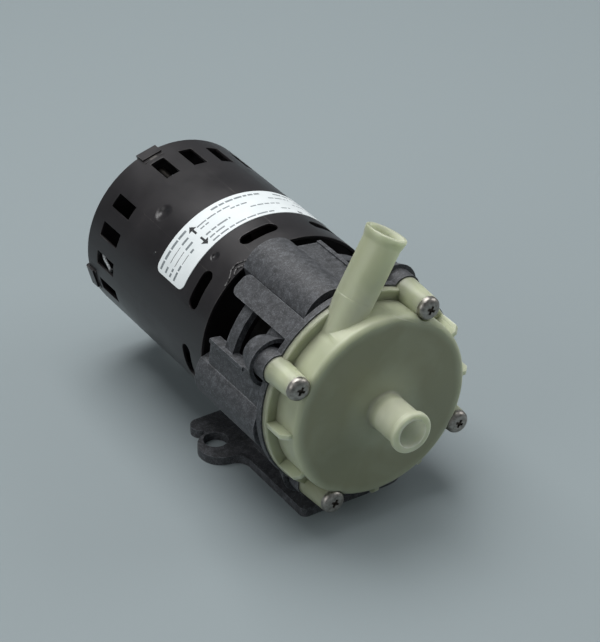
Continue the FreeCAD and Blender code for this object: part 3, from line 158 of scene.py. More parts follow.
def edge_wear_and_highlight(tree, reach, breakup):
    """Mask of the outer edges of a piece, broken up by a noise: rubbed wear on the shell, painted edge
    highlight on the housing, and both on the bracket.
    """
    rounded = add_node(tree, "ShaderNodeBevel", {"Radius": reach}, samples=4)
    true_normal = add_node(tree, "ShaderNodeNewGeometry").outputs["Normal"]
    agreement = add_node(tree, "ShaderNodeVectorMath", {
        0: rounded.outputs["Normal"], 1: true_normal}, operation="DOT_PRODUCT")
    edge = add_node(tree, "ShaderNodeMapRange", {
        "Value": agreement.outputs["Value"], "From Min": 0.985, "From Max": 0.86})
    patchy = add_node(tree, "ShaderNodeMapRange", {
        "Value": breakup, "From Min": 0.42, "From Max": 0.62, "To Min": 0.1, "To Max": 0.8})
    worn = add_node(tree, "ShaderNodeMath", {
        0: edge.outputs["Result"], 1: patchy.outputs["Result"]}, operation="MULTIPLY")
    return worn.outputs[0]


def ramp_colours(ramp_node, stops):
    """Set a colour ramp's stops from (position, hex) pairs."""
    ramp = ramp_node.color_ramp
    while len(ramp.elements) < len(stops):
        ramp.elements.new(0.5)
    for element, (position, code) in zip(ramp.elements, stops):
        element.position = position
        element.color = linear(code)


# Its specks and its skin are drawn from half to one millimetre across, coarser than real, to show.
bracket_plastic, tree, place, surface = new_material("moulded glass-filled plastic")
flow = add_node(tree, "ShaderNodeTexNoise", {
    "Vector": place, "Scale": grain(2.381), "Detail": 6.0, "Roughness": 0.82, "Distortion": 0.8})
specks = add_node(tree, "ShaderNodeTexVoronoi", {"Vector": place, "Scale": grain(0.7692)})
flow_colour = add_node(tree, "ShaderNodeValToRGB", {"Fac": flow.outputs["Fac"]})
ramp_colours(flow_colour, [(0.36, "27282a"), (0.5, "3a3b3e"), (0.64, "5a5c60")])
speck_mask = add_node(tree, "ShaderNodeMapRange", {
    "Value": specks.outputs["Distance"], "From Min": 0.12, "From Max": 0.34, "To Min": 0.5, "To Max": 0.0})
bracket_colour = add_node(tree, "ShaderNodeMix", {
    "Factor": speck_mask.outputs["Result"], 6: flow_colour.outputs["Color"], 7: linear("74767b")},
    data_type="RGBA")
# The bracket's edges are drawn lighter, partly as rubbed wear and partly as painted highlight.
bracket_wear_and_highlight = edge_wear_and_highlight(tree, 0.5 * MM, flow.outputs["Fac"])
scuff_and_highlight_colour = add_node(tree, "ShaderNodeMix", {
    "Factor": bracket_wear_and_highlight, 6: bracket_colour.outputs[2], 7: linear("8d9095")}, data_type="RGBA")
bracket_grain = add_node(tree, "ShaderNodeTexNoise", {
    "Vector": place, "Scale": grain(0.4545), "Detail": 3.0})
bracket_bump = add_node(tree, "ShaderNodeBump", {
    "Height": bracket_grain.outputs["Fac"], "Strength": 0.25, "Distance": 0.12 * MM})
bracket_rough = add_node(tree, "ShaderNodeMapRange", {
    "Value": flow.outputs["Fac"], "From Min": 0.3, "From Max": 0.7, "To Min": 0.5, "To Max": 0.66})
bracket_shader = add_node(tree, "ShaderNodeBsdfPrincipled", {
    "Base Color": scuff_and_highlight_colour.outputs[2], "Roughness": bracket_rough.outputs["Result"],
    "IOR": 1.53, "Normal": bracket_bump.outputs["Normal"]})
tree.links.new(bracket_shader.outputs[0], surface)
for bracket_part in ("motor_bracket", "bracket_foot"):
    dress_node(bracket_part, bracket_plastic, edge=EDGE_BREAK)

# The front housing: natural polypropylene, injection moulded, milky and slightly green. Light runs
# through the tubes, bosses and rim and is put into their colour as painted light; the face is
# painted darker, as painted shade from the dark impeller space behind it.
SHAFT_Z = 52.8 * MM
OUTLET_OFFSET = 26.6 * MM
OUTLET_Y = -57.6 * MM
OUTLET_LEAN = math.radians(60)
OUTLET_SHOULDER = 37.2 * MM
housing_plastic, tree, place, surface = new_material("natural polypropylene")
from_axis = add_node(tree, "ShaderNodeMapping", {
    "Vector": place, "Location": (0, 0, -SHAFT_Z), "Scale": (1, 0, 1)})
axis_distance = add_node(tree, "ShaderNodeVectorMath", {0: from_axis.outputs[0]}, operation="LENGTH")
along = add_node(tree, "ShaderNodeSeparateXYZ", {0: place})
# Painted light: the colour is lighter toward the rim, along the inlet tube and round the inlet root.
to_rim = add_node(tree, "ShaderNodeMapRange", {
    "Value": axis_distance.outputs["Value"], "From Min": 34.5 * MM, "From Max": 41.0 * MM,
    "To Max": 0.66},
    interpolation_type="SMOOTHSTEP")
to_inlet = add_node(tree, "ShaderNodeMapRange", {
    "Value": along.outputs["Y"], "From Min": -72.5 * MM, "From Max": -78.5 * MM, "To Max": 0.80},
    interpolation_type="SMOOTHSTEP")
near_root = add_node(tree, "ShaderNodeMapRange", {
    "Value": axis_distance.outputs["Value"], "From Min": 24.0 * MM, "From Max": 9.0 * MM,
    "To Max": 0.34}, interpolation_type="SMOOTHSTEP")
# Painted shade: the rim is darker where it lies on the dark bracket, which shows through it, and
# the lowest bosses are darker because little light runs down to them.
off_bracket = add_node(tree, "ShaderNodeMapRange", {
    "Value": along.outputs["Y"], "From Min": -56.5 * MM, "From Max": -63.5 * MM, "To Min": 0.35},
    interpolation_type="SMOOTHSTEP")
from_above = add_node(tree, "ShaderNodeMapRange", {
    "Value": along.outputs["Z"], "From Min": 8.0 * MM, "From Max": 40.0 * MM, "To Min": 0.2},
    interpolation_type="SMOOTHSTEP")
through = add_node(tree, "ShaderNodeMath", {
    0: off_bracket.outputs["Result"], 1: from_above.outputs["Result"]}, operation="MULTIPLY")
lit_rim = add_node(tree, "ShaderNodeMath", {
    0: to_rim.outputs["Result"], 1: through.outputs[0]}, operation="MULTIPLY")
# thick and thick_or_root gather these masks of painted light into one.
thick = add_node(tree, "ShaderNodeMath", {
    0: lit_rim.outputs[0], 1: to_inlet.outputs["Result"]}, operation="MAXIMUM")
thick_or_root = add_node(tree, "ShaderNodeMath", {
    0: thick.outputs[0], 1: near_root.outputs["Result"]}, operation="MAXIMUM")
haze = add_node(tree, "ShaderNodeTexNoise", {
    "Vector": place, "Scale": grain(23.81), "Detail": 3.0, "Distortion": 0.6})
haze_shift = add_node(tree, "ShaderNodeMapRange", {
    "Value": haze.outputs["Fac"], "From Min": 0.3, "From Max": 0.7, "To Min": -0.12, "To Max": 0.12})
# Both bores are painted lighter, as painted light coming in through their thin walls all round.
outlet_line = (-OUTLET_OFFSET * math.sin(OUTLET_LEAN), OUTLET_Y,
               SHAFT_Z + OUTLET_OFFSET * math.cos(OUTLET_LEAN))
outlet_way = (math.cos(OUTLET_LEAN), 0, math.sin(OUTLET_LEAN))
from_outlet = add_node(tree, "ShaderNodeVectorMath", {
    0: add_node(tree, "ShaderNodeVectorMath", {0: place, 1: outlet_line}, operation="SUBTRACT").outputs[0],
    1: outlet_way}, operation="CROSS_PRODUCT")
outlet_distance = add_node(tree, "ShaderNodeVectorMath", {0: from_outlet.outputs[0]}, operation="LENGTH")
in_tube = add_node(tree, "ShaderNodeMapRange", {
    "Value": along.outputs["Z"], "From Min": SHAFT_Z + 30.0 * MM,
    "From Max": SHAFT_Z + 40.0 * MM, "To Max": 0.9})
in_outlet = add_node(tree, "ShaderNodeMapRange", {
    "Value": outlet_distance.outputs["Value"], "From Min": 7.6 * MM, "From Max": 7.2 * MM,
    "To Max": in_tube.outputs["Result"]})
in_inlet = add_node(tree, "ShaderNodeMapRange", {
    "Value": axis_distance.outputs["Value"], "From Min": 6.6 * MM, "From Max": 6.2 * MM})
in_bore = add_node(tree, "ShaderNodeMath", {
    0: in_outlet.outputs["Result"], 1: in_inlet.outputs["Result"]}, operation="MAXIMUM")
lit_depth = add_node(tree, "ShaderNodeMath", {
    0: thick_or_root.outputs[0], 1: in_bore.outputs[0]}, operation="MAXIMUM")
# The housing's edges are painted lighter too, as painted light through them.
housing_edge_glow = edge_wear_and_highlight(tree, 0.6 * MM, haze.outputs["Fac"])
edge_glow_level = add_node(tree, "ShaderNodeMath", {0: housing_edge_glow, 1: 0.22, 2: lit_depth.outputs[0]},
                      operation="MULTIPLY_ADD")
painted_light_level = add_node(tree, "ShaderNodeMath", {
    0: edge_glow_level.outputs[0], 1: haze_shift.outputs["Result"]}, operation="ADD", use_clamp=True)
# The ramp turns the level of painted light into colour, from the dull face to the lit rim.
housing_colour = add_node(tree, "ShaderNodeValToRGB", {"Fac": painted_light_level.outputs[0]})
ramp_colours(housing_colour, [
    (0.0, "8d9076"), (0.3, "a0a48c"), (0.66, "b4b99d"), (0.86, "cbcfb4"), (1.0, "e6e9d2")])
housing_grain = add_node(tree, "ShaderNodeTexNoise", {
    "Vector": place, "Scale": grain(0.6667), "Detail": 2.0})
grain_bump = add_node(tree, "ShaderNodeBump", {
    "Height": housing_grain.outputs["Fac"], "Strength": 0.12, "Distance": 0.06 * MM})
# A faint shoulder rings the outlet where the inserts of its mould met; it is shading only.
up_outlet = add_node(tree, "ShaderNodeVectorMath", {
    0: place, 1: outlet_way}, operation="DOT_PRODUCT")
shoulder_start = SHAFT_Z * math.sin(OUTLET_LEAN) + OUTLET_SHOULDER
shoulder = add_node(tree, "ShaderNodeMapRange", {
    "Value": up_outlet.outputs["Value"], "From Min": shoulder_start + 0.4 * MM,
    "From Max": shoulder_start})
housing_bump = add_node(tree, "ShaderNodeBump", {
    "Height": shoulder.outputs["Result"], "Strength": 0.7, "Distance": 0.3 * MM,
    "Normal": grain_bump.outputs["Normal"]})
housing_shader = add_node(tree, "ShaderNodeBsdfPrincipled", {
    "Base Color": housing_colour.outputs["Color"], "Roughness": 0.36, "IOR": 1.49,
    "Subsurface Weight": 0.85, "Subsurface Radius": (0.95, 1.0, 0.9), "Subsurface Scale": 8.0 * MM,
    "Normal": housing_bump.outputs["Normal"]})
tree.links.new(housing_shader.outputs[0], surface)
dress_node("front_housing", housing_plastic, edge=EDGE_BREAK)

# Housing screws and the inserts they bite into: stainless pan heads, pressed and rolled, tumbled
# to a soft shine, in turned brass inserts. Turning marks are drawn coarser than real, to show.
SCREW_CIRCLE = 43.8 * MM
stainless, tree, place, surface = new_material("tumbled stainless steel")
# The four heads stand a quarter turn apart, so folding the pump's quadrants onto one brings them
# all to one centre, round which the fine turning rings of each head run.
quadrant = add_node(tree, "ShaderNodeMapping", {
    "Vector": add_node(tree, "ShaderNodeVectorMath", {0: place, 1: (0, 0, SHAFT_Z)},
                       operation="SUBTRACT").outputs[0],
    "Rotation": (0, math.radians(60), 0)})
folded = add_node(tree, "ShaderNodeVectorMath", {0: quadrant.outputs[0]}, operation="ABSOLUTE")
sides = add_node(tree, "ShaderNodeSeparateXYZ", {0: folded.outputs[0]})
outward = add_node(tree, "ShaderNodeMath", {0: sides.outputs[0], 1: sides.outputs[2]}, operation="MAXIMUM")
across = add_node(tree, "ShaderNodeMath", {0: sides.outputs[0], 1: sides.outputs[2]}, operation="MINIMUM")
from_head = add_node(tree, "ShaderNodeMath", {0: outward.outputs[0], 1: SCREW_CIRCLE}, operation="SUBTRACT")
head_spot = add_node(tree, "ShaderNodeCombineXYZ", {0: from_head.outputs[0], 1: across.outputs[0]})
head_distance = add_node(tree, "ShaderNodeVectorMath", {0: head_spot.outputs[0]}, operation="LENGTH")
tumbling = add_node(tree, "ShaderNodeTexNoise", {"Vector": place, "Scale": grain(1.4286), "Detail": 4.0})
ring_place = add_node(tree, "ShaderNodeCombineXYZ", {
    0: head_distance.outputs["Value"], 1: add_node(tree, "ShaderNodeMath", {
        0: tumbling.outputs["Fac"], 1: 0.2 * MM}, operation="MULTIPLY").outputs[0]})
rings = add_node(tree, "ShaderNodeTexNoise", {
    "Vector": ring_place.outputs[0], "Scale": grain(0.3846), "Detail": 2.0})
tumbled_colour = add_node(tree, "ShaderNodeValToRGB", {"Fac": tumbling.outputs["Fac"]})
ramp_colours(tumbled_colour, [(0.3, "7f7b76"), (0.6, "a5a19b"), (0.8, "bebbb5")])
tumbled_rough = add_node(tree, "ShaderNodeMapRange", {
    "Value": tumbling.outputs["Fac"], "From Min": 0.3, "From Max": 0.7, "To Min": 0.3, "To Max": 0.46})
ring_bump = add_node(tree, "ShaderNodeBump", {
    "Height": rings.outputs["Fac"], "Strength": 0.5, "Distance": 0.08 * MM})
stainless_shader = add_node(tree, "ShaderNodeBsdfPrincipled", {
    "Base Color": tumbled_colour.outputs["Color"], "Metallic": 1.0,
    "Roughness": tumbled_rough.outputs["Result"], "Normal": ring_bump.outputs["Normal"]})
tree.links.new(stainless_shader.outputs[0], surface)
dress_node("housing_screws", stainless)

brass, tree, place, surface = new_material("turned brass")
turning = add_node(tree, "ShaderNodeTexNoise", {"Vector": place, "Scale": grain(0.8333), "Detail": 2.0})
brass_colour = add_node(tree, "ShaderNodeValToRGB", {"Fac": turning.outputs["Fac"]})
ramp_colours(brass_colour, [(0.3, "a9843f"), (0.7, "cfa95c")])
brass_shader = add_node(tree, "ShaderNodeBsdfPrincipled", {
    "Base Color": brass_colour.outputs["Color"], "Metallic": 1.0, "Roughness": 0.3})
tree.links.new(brass_shader.outputs[0], surface)
dress_node("screw_inserts", brass)

# The wet end behind the cover: an open impeller moulded round a ring magnet, a carbon sleeve on a
# ceramic spindle between two ceramic washers, and the closed can of natural polypropylene.
inner_plastic, tree, place, surface = new_material("natural polypropylene inside")
inner_haze = add_node(tree, "ShaderNodeTexNoise", {
    "Vector": place, "Scale": grain(11.111), "Detail": 2.0})
inner_colour = add_node(tree, "ShaderNodeValToRGB", {"Fac": inner_haze.outputs["Fac"]})
ramp_colours(inner_colour, [(0.3, "98a087"), (0.7, "aab397")])
inner_shader = add_node(tree, "ShaderNodeBsdfPrincipled", {
    "Base Color": inner_colour.outputs["Color"], "Roughness": 0.4, "IOR": 1.49})
tree.links.new(inner_shader.outputs[0], surface)
dress_node("rear_housing", inner_plastic)
dress_node("impeller", inner_plastic)

ferrite, tree, place, surface = new_material("sintered ferrite")
ferrite_grain = add_node(tree, "ShaderNodeTexNoise", {
    "Vector": place, "Scale": grain(0.625), "Detail": 5.0})
ferrite_colour = add_node(tree, "ShaderNodeValToRGB", {"Fac": ferrite_grain.outputs["Fac"]})
ramp_colours(ferrite_colour, [(0.35, "232324"), (0.7, "3a3a3b")])
ferrite_shader = add_node(tree, "ShaderNodeBsdfPrincipled", {
    "Base Color": ferrite_colour.outputs["Color"], "Roughness": 0.62})
tree.links.new(ferrite_shader.outputs[0], surface)
for magnet in ("driven_magnet", "drive_magnet"):
    dress_node(magnet, ferrite)

ceramic, tree, place, surface = new_material("ground alumina ceramic")
grinding = add_node(tree, "ShaderNodeTexNoise", {"Vector": place, "Scale": grain(0.4), "Detail": 2.0})
ceramic_rough = add_node(tree, "ShaderNodeMapRange", {
    "Value": grinding.outputs["Fac"], "To Min": 0.12, "To Max": 0.3})
ceramic_shader = add_node(tree, "ShaderNodeBsdfPrincipled", {
    "Base Color": linear("e6e2d8"), "Roughness": ceramic_rough.outputs["Result"]})
tree.links.new(ceramic_shader.outputs[0], surface)
for ceramic_piece in ("spindle", "front_thrust_washer", "rear_thrust_washer"):
    dress_node(ceramic_piece, ceramic)

carbon, tree, place, surface = new_material("carbon graphite")
carbon_grain = add_node(tree, "ShaderNodeTexNoise", {
    "Vector": place, "Scale": grain(0.33333), "Detail": 3.0})
carbon_colour = add_node(tree, "ShaderNodeValToRGB", {"Fac": carbon_grain.outputs["Fac"]})
ramp_colours(carbon_colour, [(0.35, "1d1d1f"), (0.7, "313134")])
carbon_shader = add_node(tree, "ShaderNodeBsdfPrincipled", {
    "Base Color": carbon_colour.outputs["Color"], "Roughness": 0.35})
tree.links.new(carbon_shader.outputs[0], surface)
dress_node("impeller_bushing", carbon)

rubber, tree, place, surface = new_material("moulded black rubber")
rubber_grain = add_node(tree, "ShaderNodeTexNoise", {
    "Vector": place, "Scale": grain(0.5556), "Detail": 2.0})
rubber_bump = add_node(tree, "ShaderNodeBump", {
    "Height": rubber_grain.outputs["Fac"], "Strength": 0.1, "Distance": 0.05 * MM})
rubber_shader = add_node(tree, "ShaderNodeBsdfPrincipled", {
    "Base Color": linear("1b1b1c"), "Roughness": 0.6, "Normal": rubber_bump.outputs["Normal"]})
tree.links.new(rubber_shader.outputs[0], surface)
for rubber_piece in ("housing_o_ring", "lead_grommet"):
    dress_node(rubber_piece, rubber)

# The drive cup and plain steel pieces: turned or cold-headed steel. The plain pieces have a thin
# zinc finish, a little darker in its turning marks; the drive cup, through bolts and nuts are
# coloured near black, as painted shade for the dark inside the motor.
plain_steel, tree, place, surface = new_material("zinc-plated steel")
plating = add_node(tree, "ShaderNodeTexNoise", {"Vector": place, "Scale": grain(2.0), "Detail": 4.0})
plating_colour = add_node(tree, "ShaderNodeValToRGB", {"Fac": plating.outputs["Fac"]})
ramp_colours(plating_colour, [(0.3, "7a7872"), (0.7, "a19e97")])
plain_steel_shader = add_node(tree, "ShaderNodeBsdfPrincipled", {
    "Base Color": plating_colour.outputs["Color"], "Metallic": 1.0, "Roughness": 0.38})
tree.links.new(plain_steel_shader.outputs[0], surface)
for steel_piece in ("hub_set_screws", "rotor_sleeves", "motor_shaft"):
    dress_node(steel_piece, plain_steel)

shaded_cup_steel, tree, place, surface = new_material("turned steel darkened for shade")
cup_tone = add_node(tree, "ShaderNodeTexNoise", {"Vector": place, "Scale": grain(3.3333), "Detail": 4.0})
cup_colour = add_node(tree, "ShaderNodeValToRGB", {"Fac": cup_tone.outputs["Fac"]})
ramp_colours(cup_colour, [(0.3, "1d1c1b"), (0.7, "302e2b")])
cup_shader = add_node(tree, "ShaderNodeBsdfPrincipled", {
    "Base Color": cup_colour.outputs["Color"], "Metallic": 1.0, "Roughness": 0.45})
tree.links.new(cup_shader.outputs[0], surface)
for shaded_piece in ("drive_cup", "through_bolts", "through_bolt_nuts"):
    dress_node(shaded_piece, shaded_cup_steel)

# The motor shell: a drawn steel tube, punched for air, in near-black baked enamel with a low
# gloss, fine orange peel and a little dust.
shell_enamel, tree, place, surface = new_material("baked black enamel")
dust = add_node(tree, "ShaderNodeTexNoise", {
    "Vector": place, "Scale": grain(22.222), "Detail": 6.0, "Roughness": 0.65})
enamel_colour = add_node(tree, "ShaderNodeValToRGB", {"Fac": dust.outputs["Fac"]})
ramp_colours(enamel_colour, [(0.35, "191618"), (0.62, "211e20"), (0.85, "302c2c")])
orange_peel = add_node(tree, "ShaderNodeTexNoise", {
    "Vector": place, "Scale": grain(1.5385), "Detail": 1.0})
enamel_peel = add_node(tree, "ShaderNodeBump", {
    "Height": orange_peel.outputs["Fac"], "Strength": 0.08, "Distance": 0.1 * MM})
# Staking dimples that hold the laminations and the front bell, and one weld pimple, each given as
# angle and station on the shell, radius and depth. They are shading only.
SHELL_R = 41.9 * MM
enamel_bump = enamel_peel
for stake_angle, stake_station, stake_radius, stake_depth in (
    (126.5, 56.0, 4.8, 1.8), (126.2, 14.2, 2.6, 1.6), (147.1, 45.9, 0.9, -0.5),
    (306.5, 56.0, 4.8, 1.8), (36.2, 14.2, 2.6, 1.6), (216.2, 14.2, 2.6, 1.6),
):
    stake = (SHELL_R * math.cos(math.radians(stake_angle)), stake_station * MM,
             SHAFT_Z + SHELL_R * math.sin(math.radians(stake_angle)))
    stake_distance = add_node(tree, "ShaderNodeVectorMath", {0: place, 1: stake}, operation="DISTANCE")
    stake_bowl = add_node(tree, "ShaderNodeMapRange", {
        "Value": stake_distance.outputs["Value"], "From Min": 0.0, "From Max": stake_radius * MM},
        interpolation_type="SMOOTHERSTEP")
    enamel_bump = add_node(tree, "ShaderNodeBump", {
        "Height": stake_bowl.outputs["Result"], "Strength": 1.0, "Distance": abs(stake_depth) * MM,
        "Normal": enamel_bump.outputs["Normal"]}, invert=stake_depth < 0)
enamel_rough = add_node(tree, "ShaderNodeMapRange", {
    "Value": dust.outputs["Fac"], "From Min": 0.3, "From Max": 0.75, "To Min": 0.3, "To Max": 0.44})
enamel_worn = add_node(tree, "ShaderNodeMix", {
    "Factor": edge_wear_and_highlight(tree, 0.35 * MM, dust.outputs["Fac"]), 6: enamel_colour.outputs["Color"],
    7: linear("73706c")}, data_type="RGBA")
enamel_shader = add_node(tree, "ShaderNodeBsdfPrincipled", {
    "Base Color": enamel_worn.outputs[2], "Roughness": enamel_rough.outputs["Result"],
    "IOR": 1.5, "Normal": enamel_bump.outputs["Normal"]})
tree.links.new(enamel_shader.outputs[0], surface)
dress_node("motor_shell", shell_enamel, edge=0.25 * MM)
# The front bell takes this black enamel partly as painted shade, so that the gap between the shell and
# bracket stays dark.
for enamelled in ("front_end_bell", "rear_end_bell", "rim_clips"):
    dress_node(enamelled, shell_enamel, edge=0.2 * MM)

# The crimped tab at the front rim: the shell's edge is raised in a low arch over a slot, where a
# locating lug of the bell was pressed out.
bead_enamel, tree, place, surface = new_material("thick run of black enamel")
# Its lighter patches are partly worn enamel and partly painted glint.
bead_wear_and_glint = add_node(tree, "ShaderNodeTexNoise", {"Vector": place, "Scale": grain(1.111), "Detail": 3.0})
bead_colour = add_node(tree, "ShaderNodeValToRGB", {"Fac": bead_wear_and_glint.outputs["Fac"]})
ramp_colours(bead_colour, [(0.45, "262425"), (0.62, "6c6a69")])
bead_shader = add_node(tree, "ShaderNodeBsdfPrincipled", {
    "Base Color": bead_colour.outputs["Color"], "Roughness": 0.2, "IOR": 1.5})
tree.links.new(bead_shader.outputs[0], surface)


def lay_run(curve, route):
    """Lay a smooth run through (angle, radius, station) points about the pump axis."""
    run = curve.splines.new("NURBS")
    run.points.add(len(route) - 1)
    for point, (angle, radius, station) in zip(run.points, route):
        turn = math.radians(angle)
        point.co = (radius * math.cos(turn), station * MM,
                    SHAFT_Z + radius * math.sin(turn), 1.0)
    run.order_u = 3
    run.use_endpoint_u = True


tab_curve = bpy.data.curves.new("rim_tab", "CURVE")
tab_curve.dimensions = "3D"
tab_curve.bevel_depth = 0.45 * MM
tab_curve.bevel_resolution = 3
TAB_R = SHELL_R + 0.12 * MM
for tab_route in (
    ((135.0, -1.8), (131.5, -1.6), (128.6, -0.2), (126.2, 1.5), (121.9, 2.0), (118.0, 0.4),
     (115.0, -1.4), (110.5, -1.8)),
    ((127.0, -1.8), (125.6, -0.8), (123.4, -0.2), (121.2, -0.8), (120.0, -1.8)),
):
    lay_run(tab_curve, [(angle, TAB_R, station) for angle, station in tab_route])
rim_tab = bpy.data.objects.new("rim_tab", tab_curve)
scene.collection.objects.link(rim_tab)
tab_curve.materials.append(bead_enamel)
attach(rim_tab, "pump_body")

clip_steel, tree, place, surface = new_material("bare spring steel")
clip_stain = add_node(tree, "ShaderNodeTexNoise", {"Vector": place, "Scale": grain(2.5), "Detail": 4.0})
clip_colour = add_node(tree, "ShaderNodeValToRGB", {"Fac": clip_stain.outputs["Fac"]})
ramp_colours(clip_colour, [(0.3, "77716a"), (0.7, "a8a39b")])
clip_shader = add_node(tree, "ShaderNodeBsdfPrincipled", {
    "Base Color": clip_colour.outputs["Color"], "Metallic": 1.0, "Roughness": 0.4})
tree.links.new(clip_shader.outputs[0], surface)
for retainer in ("front_bearing_retainer", "rear_bearing_retainer"):
    dress_node(retainer, clip_steel)

# The nameplate: a white polyester film with rounded corners, glued round the top of the shell.
# It carries ruled lines and a plain double arrow.
film, tree, place, surface = new_material("white polyester film")
film_grain = add_node(tree, "ShaderNodeTexNoise", {
    "Vector": place, "Scale": grain(8.3333), "Detail": 3.0})
film_colour = add_node(tree, "ShaderNodeValToRGB", {"Fac": film_grain.outputs["Fac"]})
ramp_colours(film_colour, [(0.3, "dce2e3"), (0.7, "e4e9ea")])
film_shader = add_node(tree, "ShaderNodeBsdfPrincipled", {
    "Base Color": film_colour.outputs["Color"], "Roughness": 0.42, "IOR": 1.5})
tree.links.new(film_shader.outputs[0], surface)
dress_node("nameplate", film)

# The print on the film: dark grey and black ink, rolled on while the film was flat, in rows of
# ruled dashes, three thin rules and one plain double arrow.
INK_R = 42.235 * MM
ink, tree, place, surface = new_material("dark grey printing ink")
ink_grain = add_node(tree, "ShaderNodeTexNoise", {
    "Vector": place, "Scale": grain(0.41667), "Detail": 2.0})
ink_colour = add_node(tree, "ShaderNodeValToRGB", {"Fac": ink_grain.outputs["Fac"]})
ramp_colours(ink_colour, [(0.35, "6b7174"), (0.65, "8b9396")])
ink_shader = add_node(tree, "ShaderNodeBsdfPrincipled", {
    "Base Color": ink_colour.outputs["Color"], "Roughness": 0.5, "IOR": 1.5})
tree.links.new(ink_shader.outputs[0], surface)

black_ink, tree, place, surface = new_material("black printing ink")
black_grain = add_node(tree, "ShaderNodeTexNoise", {
    "Vector": place, "Scale": grain(0.41667), "Detail": 2.0})
black_colour = add_node(tree, "ShaderNodeValToRGB", {"Fac": black_grain.outputs["Fac"]})
ramp_colours(black_colour, [(0.35, "1d1f20"), (0.65, "2c2e30")])
black_shader = add_node(tree, "ShaderNodeBsdfPrincipled", {
    "Base Color": black_colour.outputs["Color"], "Roughness": 0.5, "IOR": 1.5})
tree.links.new(black_shader.outputs[0], surface)

print_form = bmesh.new()
spacing = random.Random(5)
DASH_FACE = 1.5 * MM
DASH_GAP = 0.9
SHORTEST_DASH, LONGEST_DASH = 2.2, 7.0
ROW_END = 0.8
ARROW_ANGLE = 123.3
ARROW_STEP = 0.25
ARROW_STEPS = 11


def lay_dash(angle_from, angle_to, station, height, ink_slot=0):
    """Lay one flat dash of ink, from one angle on the shell down to another."""
    start, stop = (math.radians(angle) * INK_R for angle in (angle_to, angle_from))
    dash = bmesh.ops.create_grid(
        print_form, x_segments=max(1, round((stop - start) / DASH_FACE)), y_segments=1, size=0.5)
    bmesh.ops.scale(print_form, vec=(stop - start, height * MM, 1), verts=dash["verts"])
    bmesh.ops.translate(print_form, vec=((start + stop) / 2, station * MM, 0), verts=dash["verts"])
    for face in {face for vert in dash["verts"] for face in vert.link_faces}:
        face.material_index = ink_slot


for row_from, row_to, row_station, row_height in (
    (151.9, 126.0, 37.5, 1.35), (151.8, 148.1, 33.7, 1.2), (133.4, 128.0, 33.6, 1.2),
    (152.0, 146.9, 30.2, 1.2), (134.2, 128.3, 29.9, 1.2), (152.2, 142.7, 26.9, 1.2),
    (133.7, 129.3, 26.5, 1.2), (107.5, 74.7, 37.6, 1.2), (120.5, 97.8, 34.2, 0.8),
    (119.9, 113.9, 32.0, 0.75), (98.8, 88.2, 32.2, 0.85), (120.3, 103.3, 27.0, 1.0),
    (120.0, 109.5, 24.2, 0.85), (120.2, 78.9, 21.5, 0.9), (88.8, 69.0, 28.4, 0.8),
    (72.7, 58.0, 33.4, 0.8), (72.2, 66.0, 23.7, 0.75), (66.0, 44.0, 37.6, 1.1),
    (54.0, 36.0, 33.4, 0.8), (60.0, 40.0, 28.4, 0.8), (52.0, 34.0, 24.0, 0.8),
):
    while row_from - row_to > ROW_END:
        dash_angle = min(spacing.uniform(SHORTEST_DASH, LONGEST_DASH), row_from - row_to)
        lay_dash(row_from, row_from - dash_angle, row_station, row_height)
        row_from -= dash_angle + DASH_GAP
for rule_from, rule_to, rule_station in (
    (145.6, 135.0, 33.6), (145.6, 135.6, 30.1), (141.6, 135.1, 26.7),
):
    lay_dash(rule_from, rule_to, rule_station, 0.3, ink_slot=1)
# Each half of the double arrow is a shaft and a head whose cross dashes narrow to its tip.
for tip_station, tip_way in ((22.6, -1), (37.4, 1)):
    lay_dash(124.0, 122.6, tip_station - tip_way * 3.9, 3.6, ink_slot=1)
    for step in range(ARROW_STEPS):
        half_width = ARROW_STEP * (step + 0.5)
        lay_dash(ARROW_ANGLE + half_width, ARROW_ANGLE - half_width,
                 tip_station - tip_way * ARROW_STEP * step, 0.27, ink_slot=1)
for block_angle in (62.6, 60.9):
    lay_dash(block_angle, block_angle - 1.2, 21.0, 1.6, ink_slot=1)
for vert in print_form.verts:
    wrap = vert.co.x / INK_R
    vert.co = (INK_R * math.cos(wrap), vert.co.y, SHAFT_Z + INK_R * math.sin(wrap))
bmesh.ops.reverse_faces(print_form, faces=print_form.faces)
bmesh.ops.solidify(print_form, geom=print_form.faces, thickness=0.01 * MM)
print_mesh = bpy.data.meshes.new("nameplate_print")
print_form.to_mesh(print_mesh)
print_form.free()
print_mesh.materials.append(ink)
print_mesh.materials.append(black_ink)
nameplate_print = bpy.data.objects.new("nameplate_print", print_mesh)
scene.collection.objects.link(nameplate_print)
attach(nameplate_print, "pump_body")

# Stator and rotor: stacked electrical steel with a thin blue-grey oxide, wound with enamelled
# copper wire, and a cast aluminium cage. The steel is darker than bare steel, partly from its oxide
# and partly as painted shade for the dark inside the shell. Sheets and wires are drawn wider than
# real, to show.
# A wave pattern repeats every pi / 10 of its scaled length, so this gives one wave to a grain.
WAVE = math.pi / 10
lamination, tree, place, surface = new_material("stacked electrical steel")
sheet_lines = add_node(tree, "ShaderNodeTexWave", {
    "Vector": place, "Scale": WAVE * grain(0.9817), "Distortion": 0.4}, bands_direction="Y")
lamination_colour = add_node(tree, "ShaderNodeValToRGB", {"Fac": sheet_lines.outputs["Fac"]})
ramp_colours(lamination_colour, [(0.2, "242528"), (0.7, "45474b")])
lamination_shader = add_node(tree, "ShaderNodeBsdfPrincipled", {
    "Base Color": lamination_colour.outputs["Color"], "Metallic": 1.0, "Roughness": 0.5})
tree.links.new(lamination_shader.outputs[0], surface)
for core in ("stator_core", "rotor_core"):
    dress_node(core, lamination)

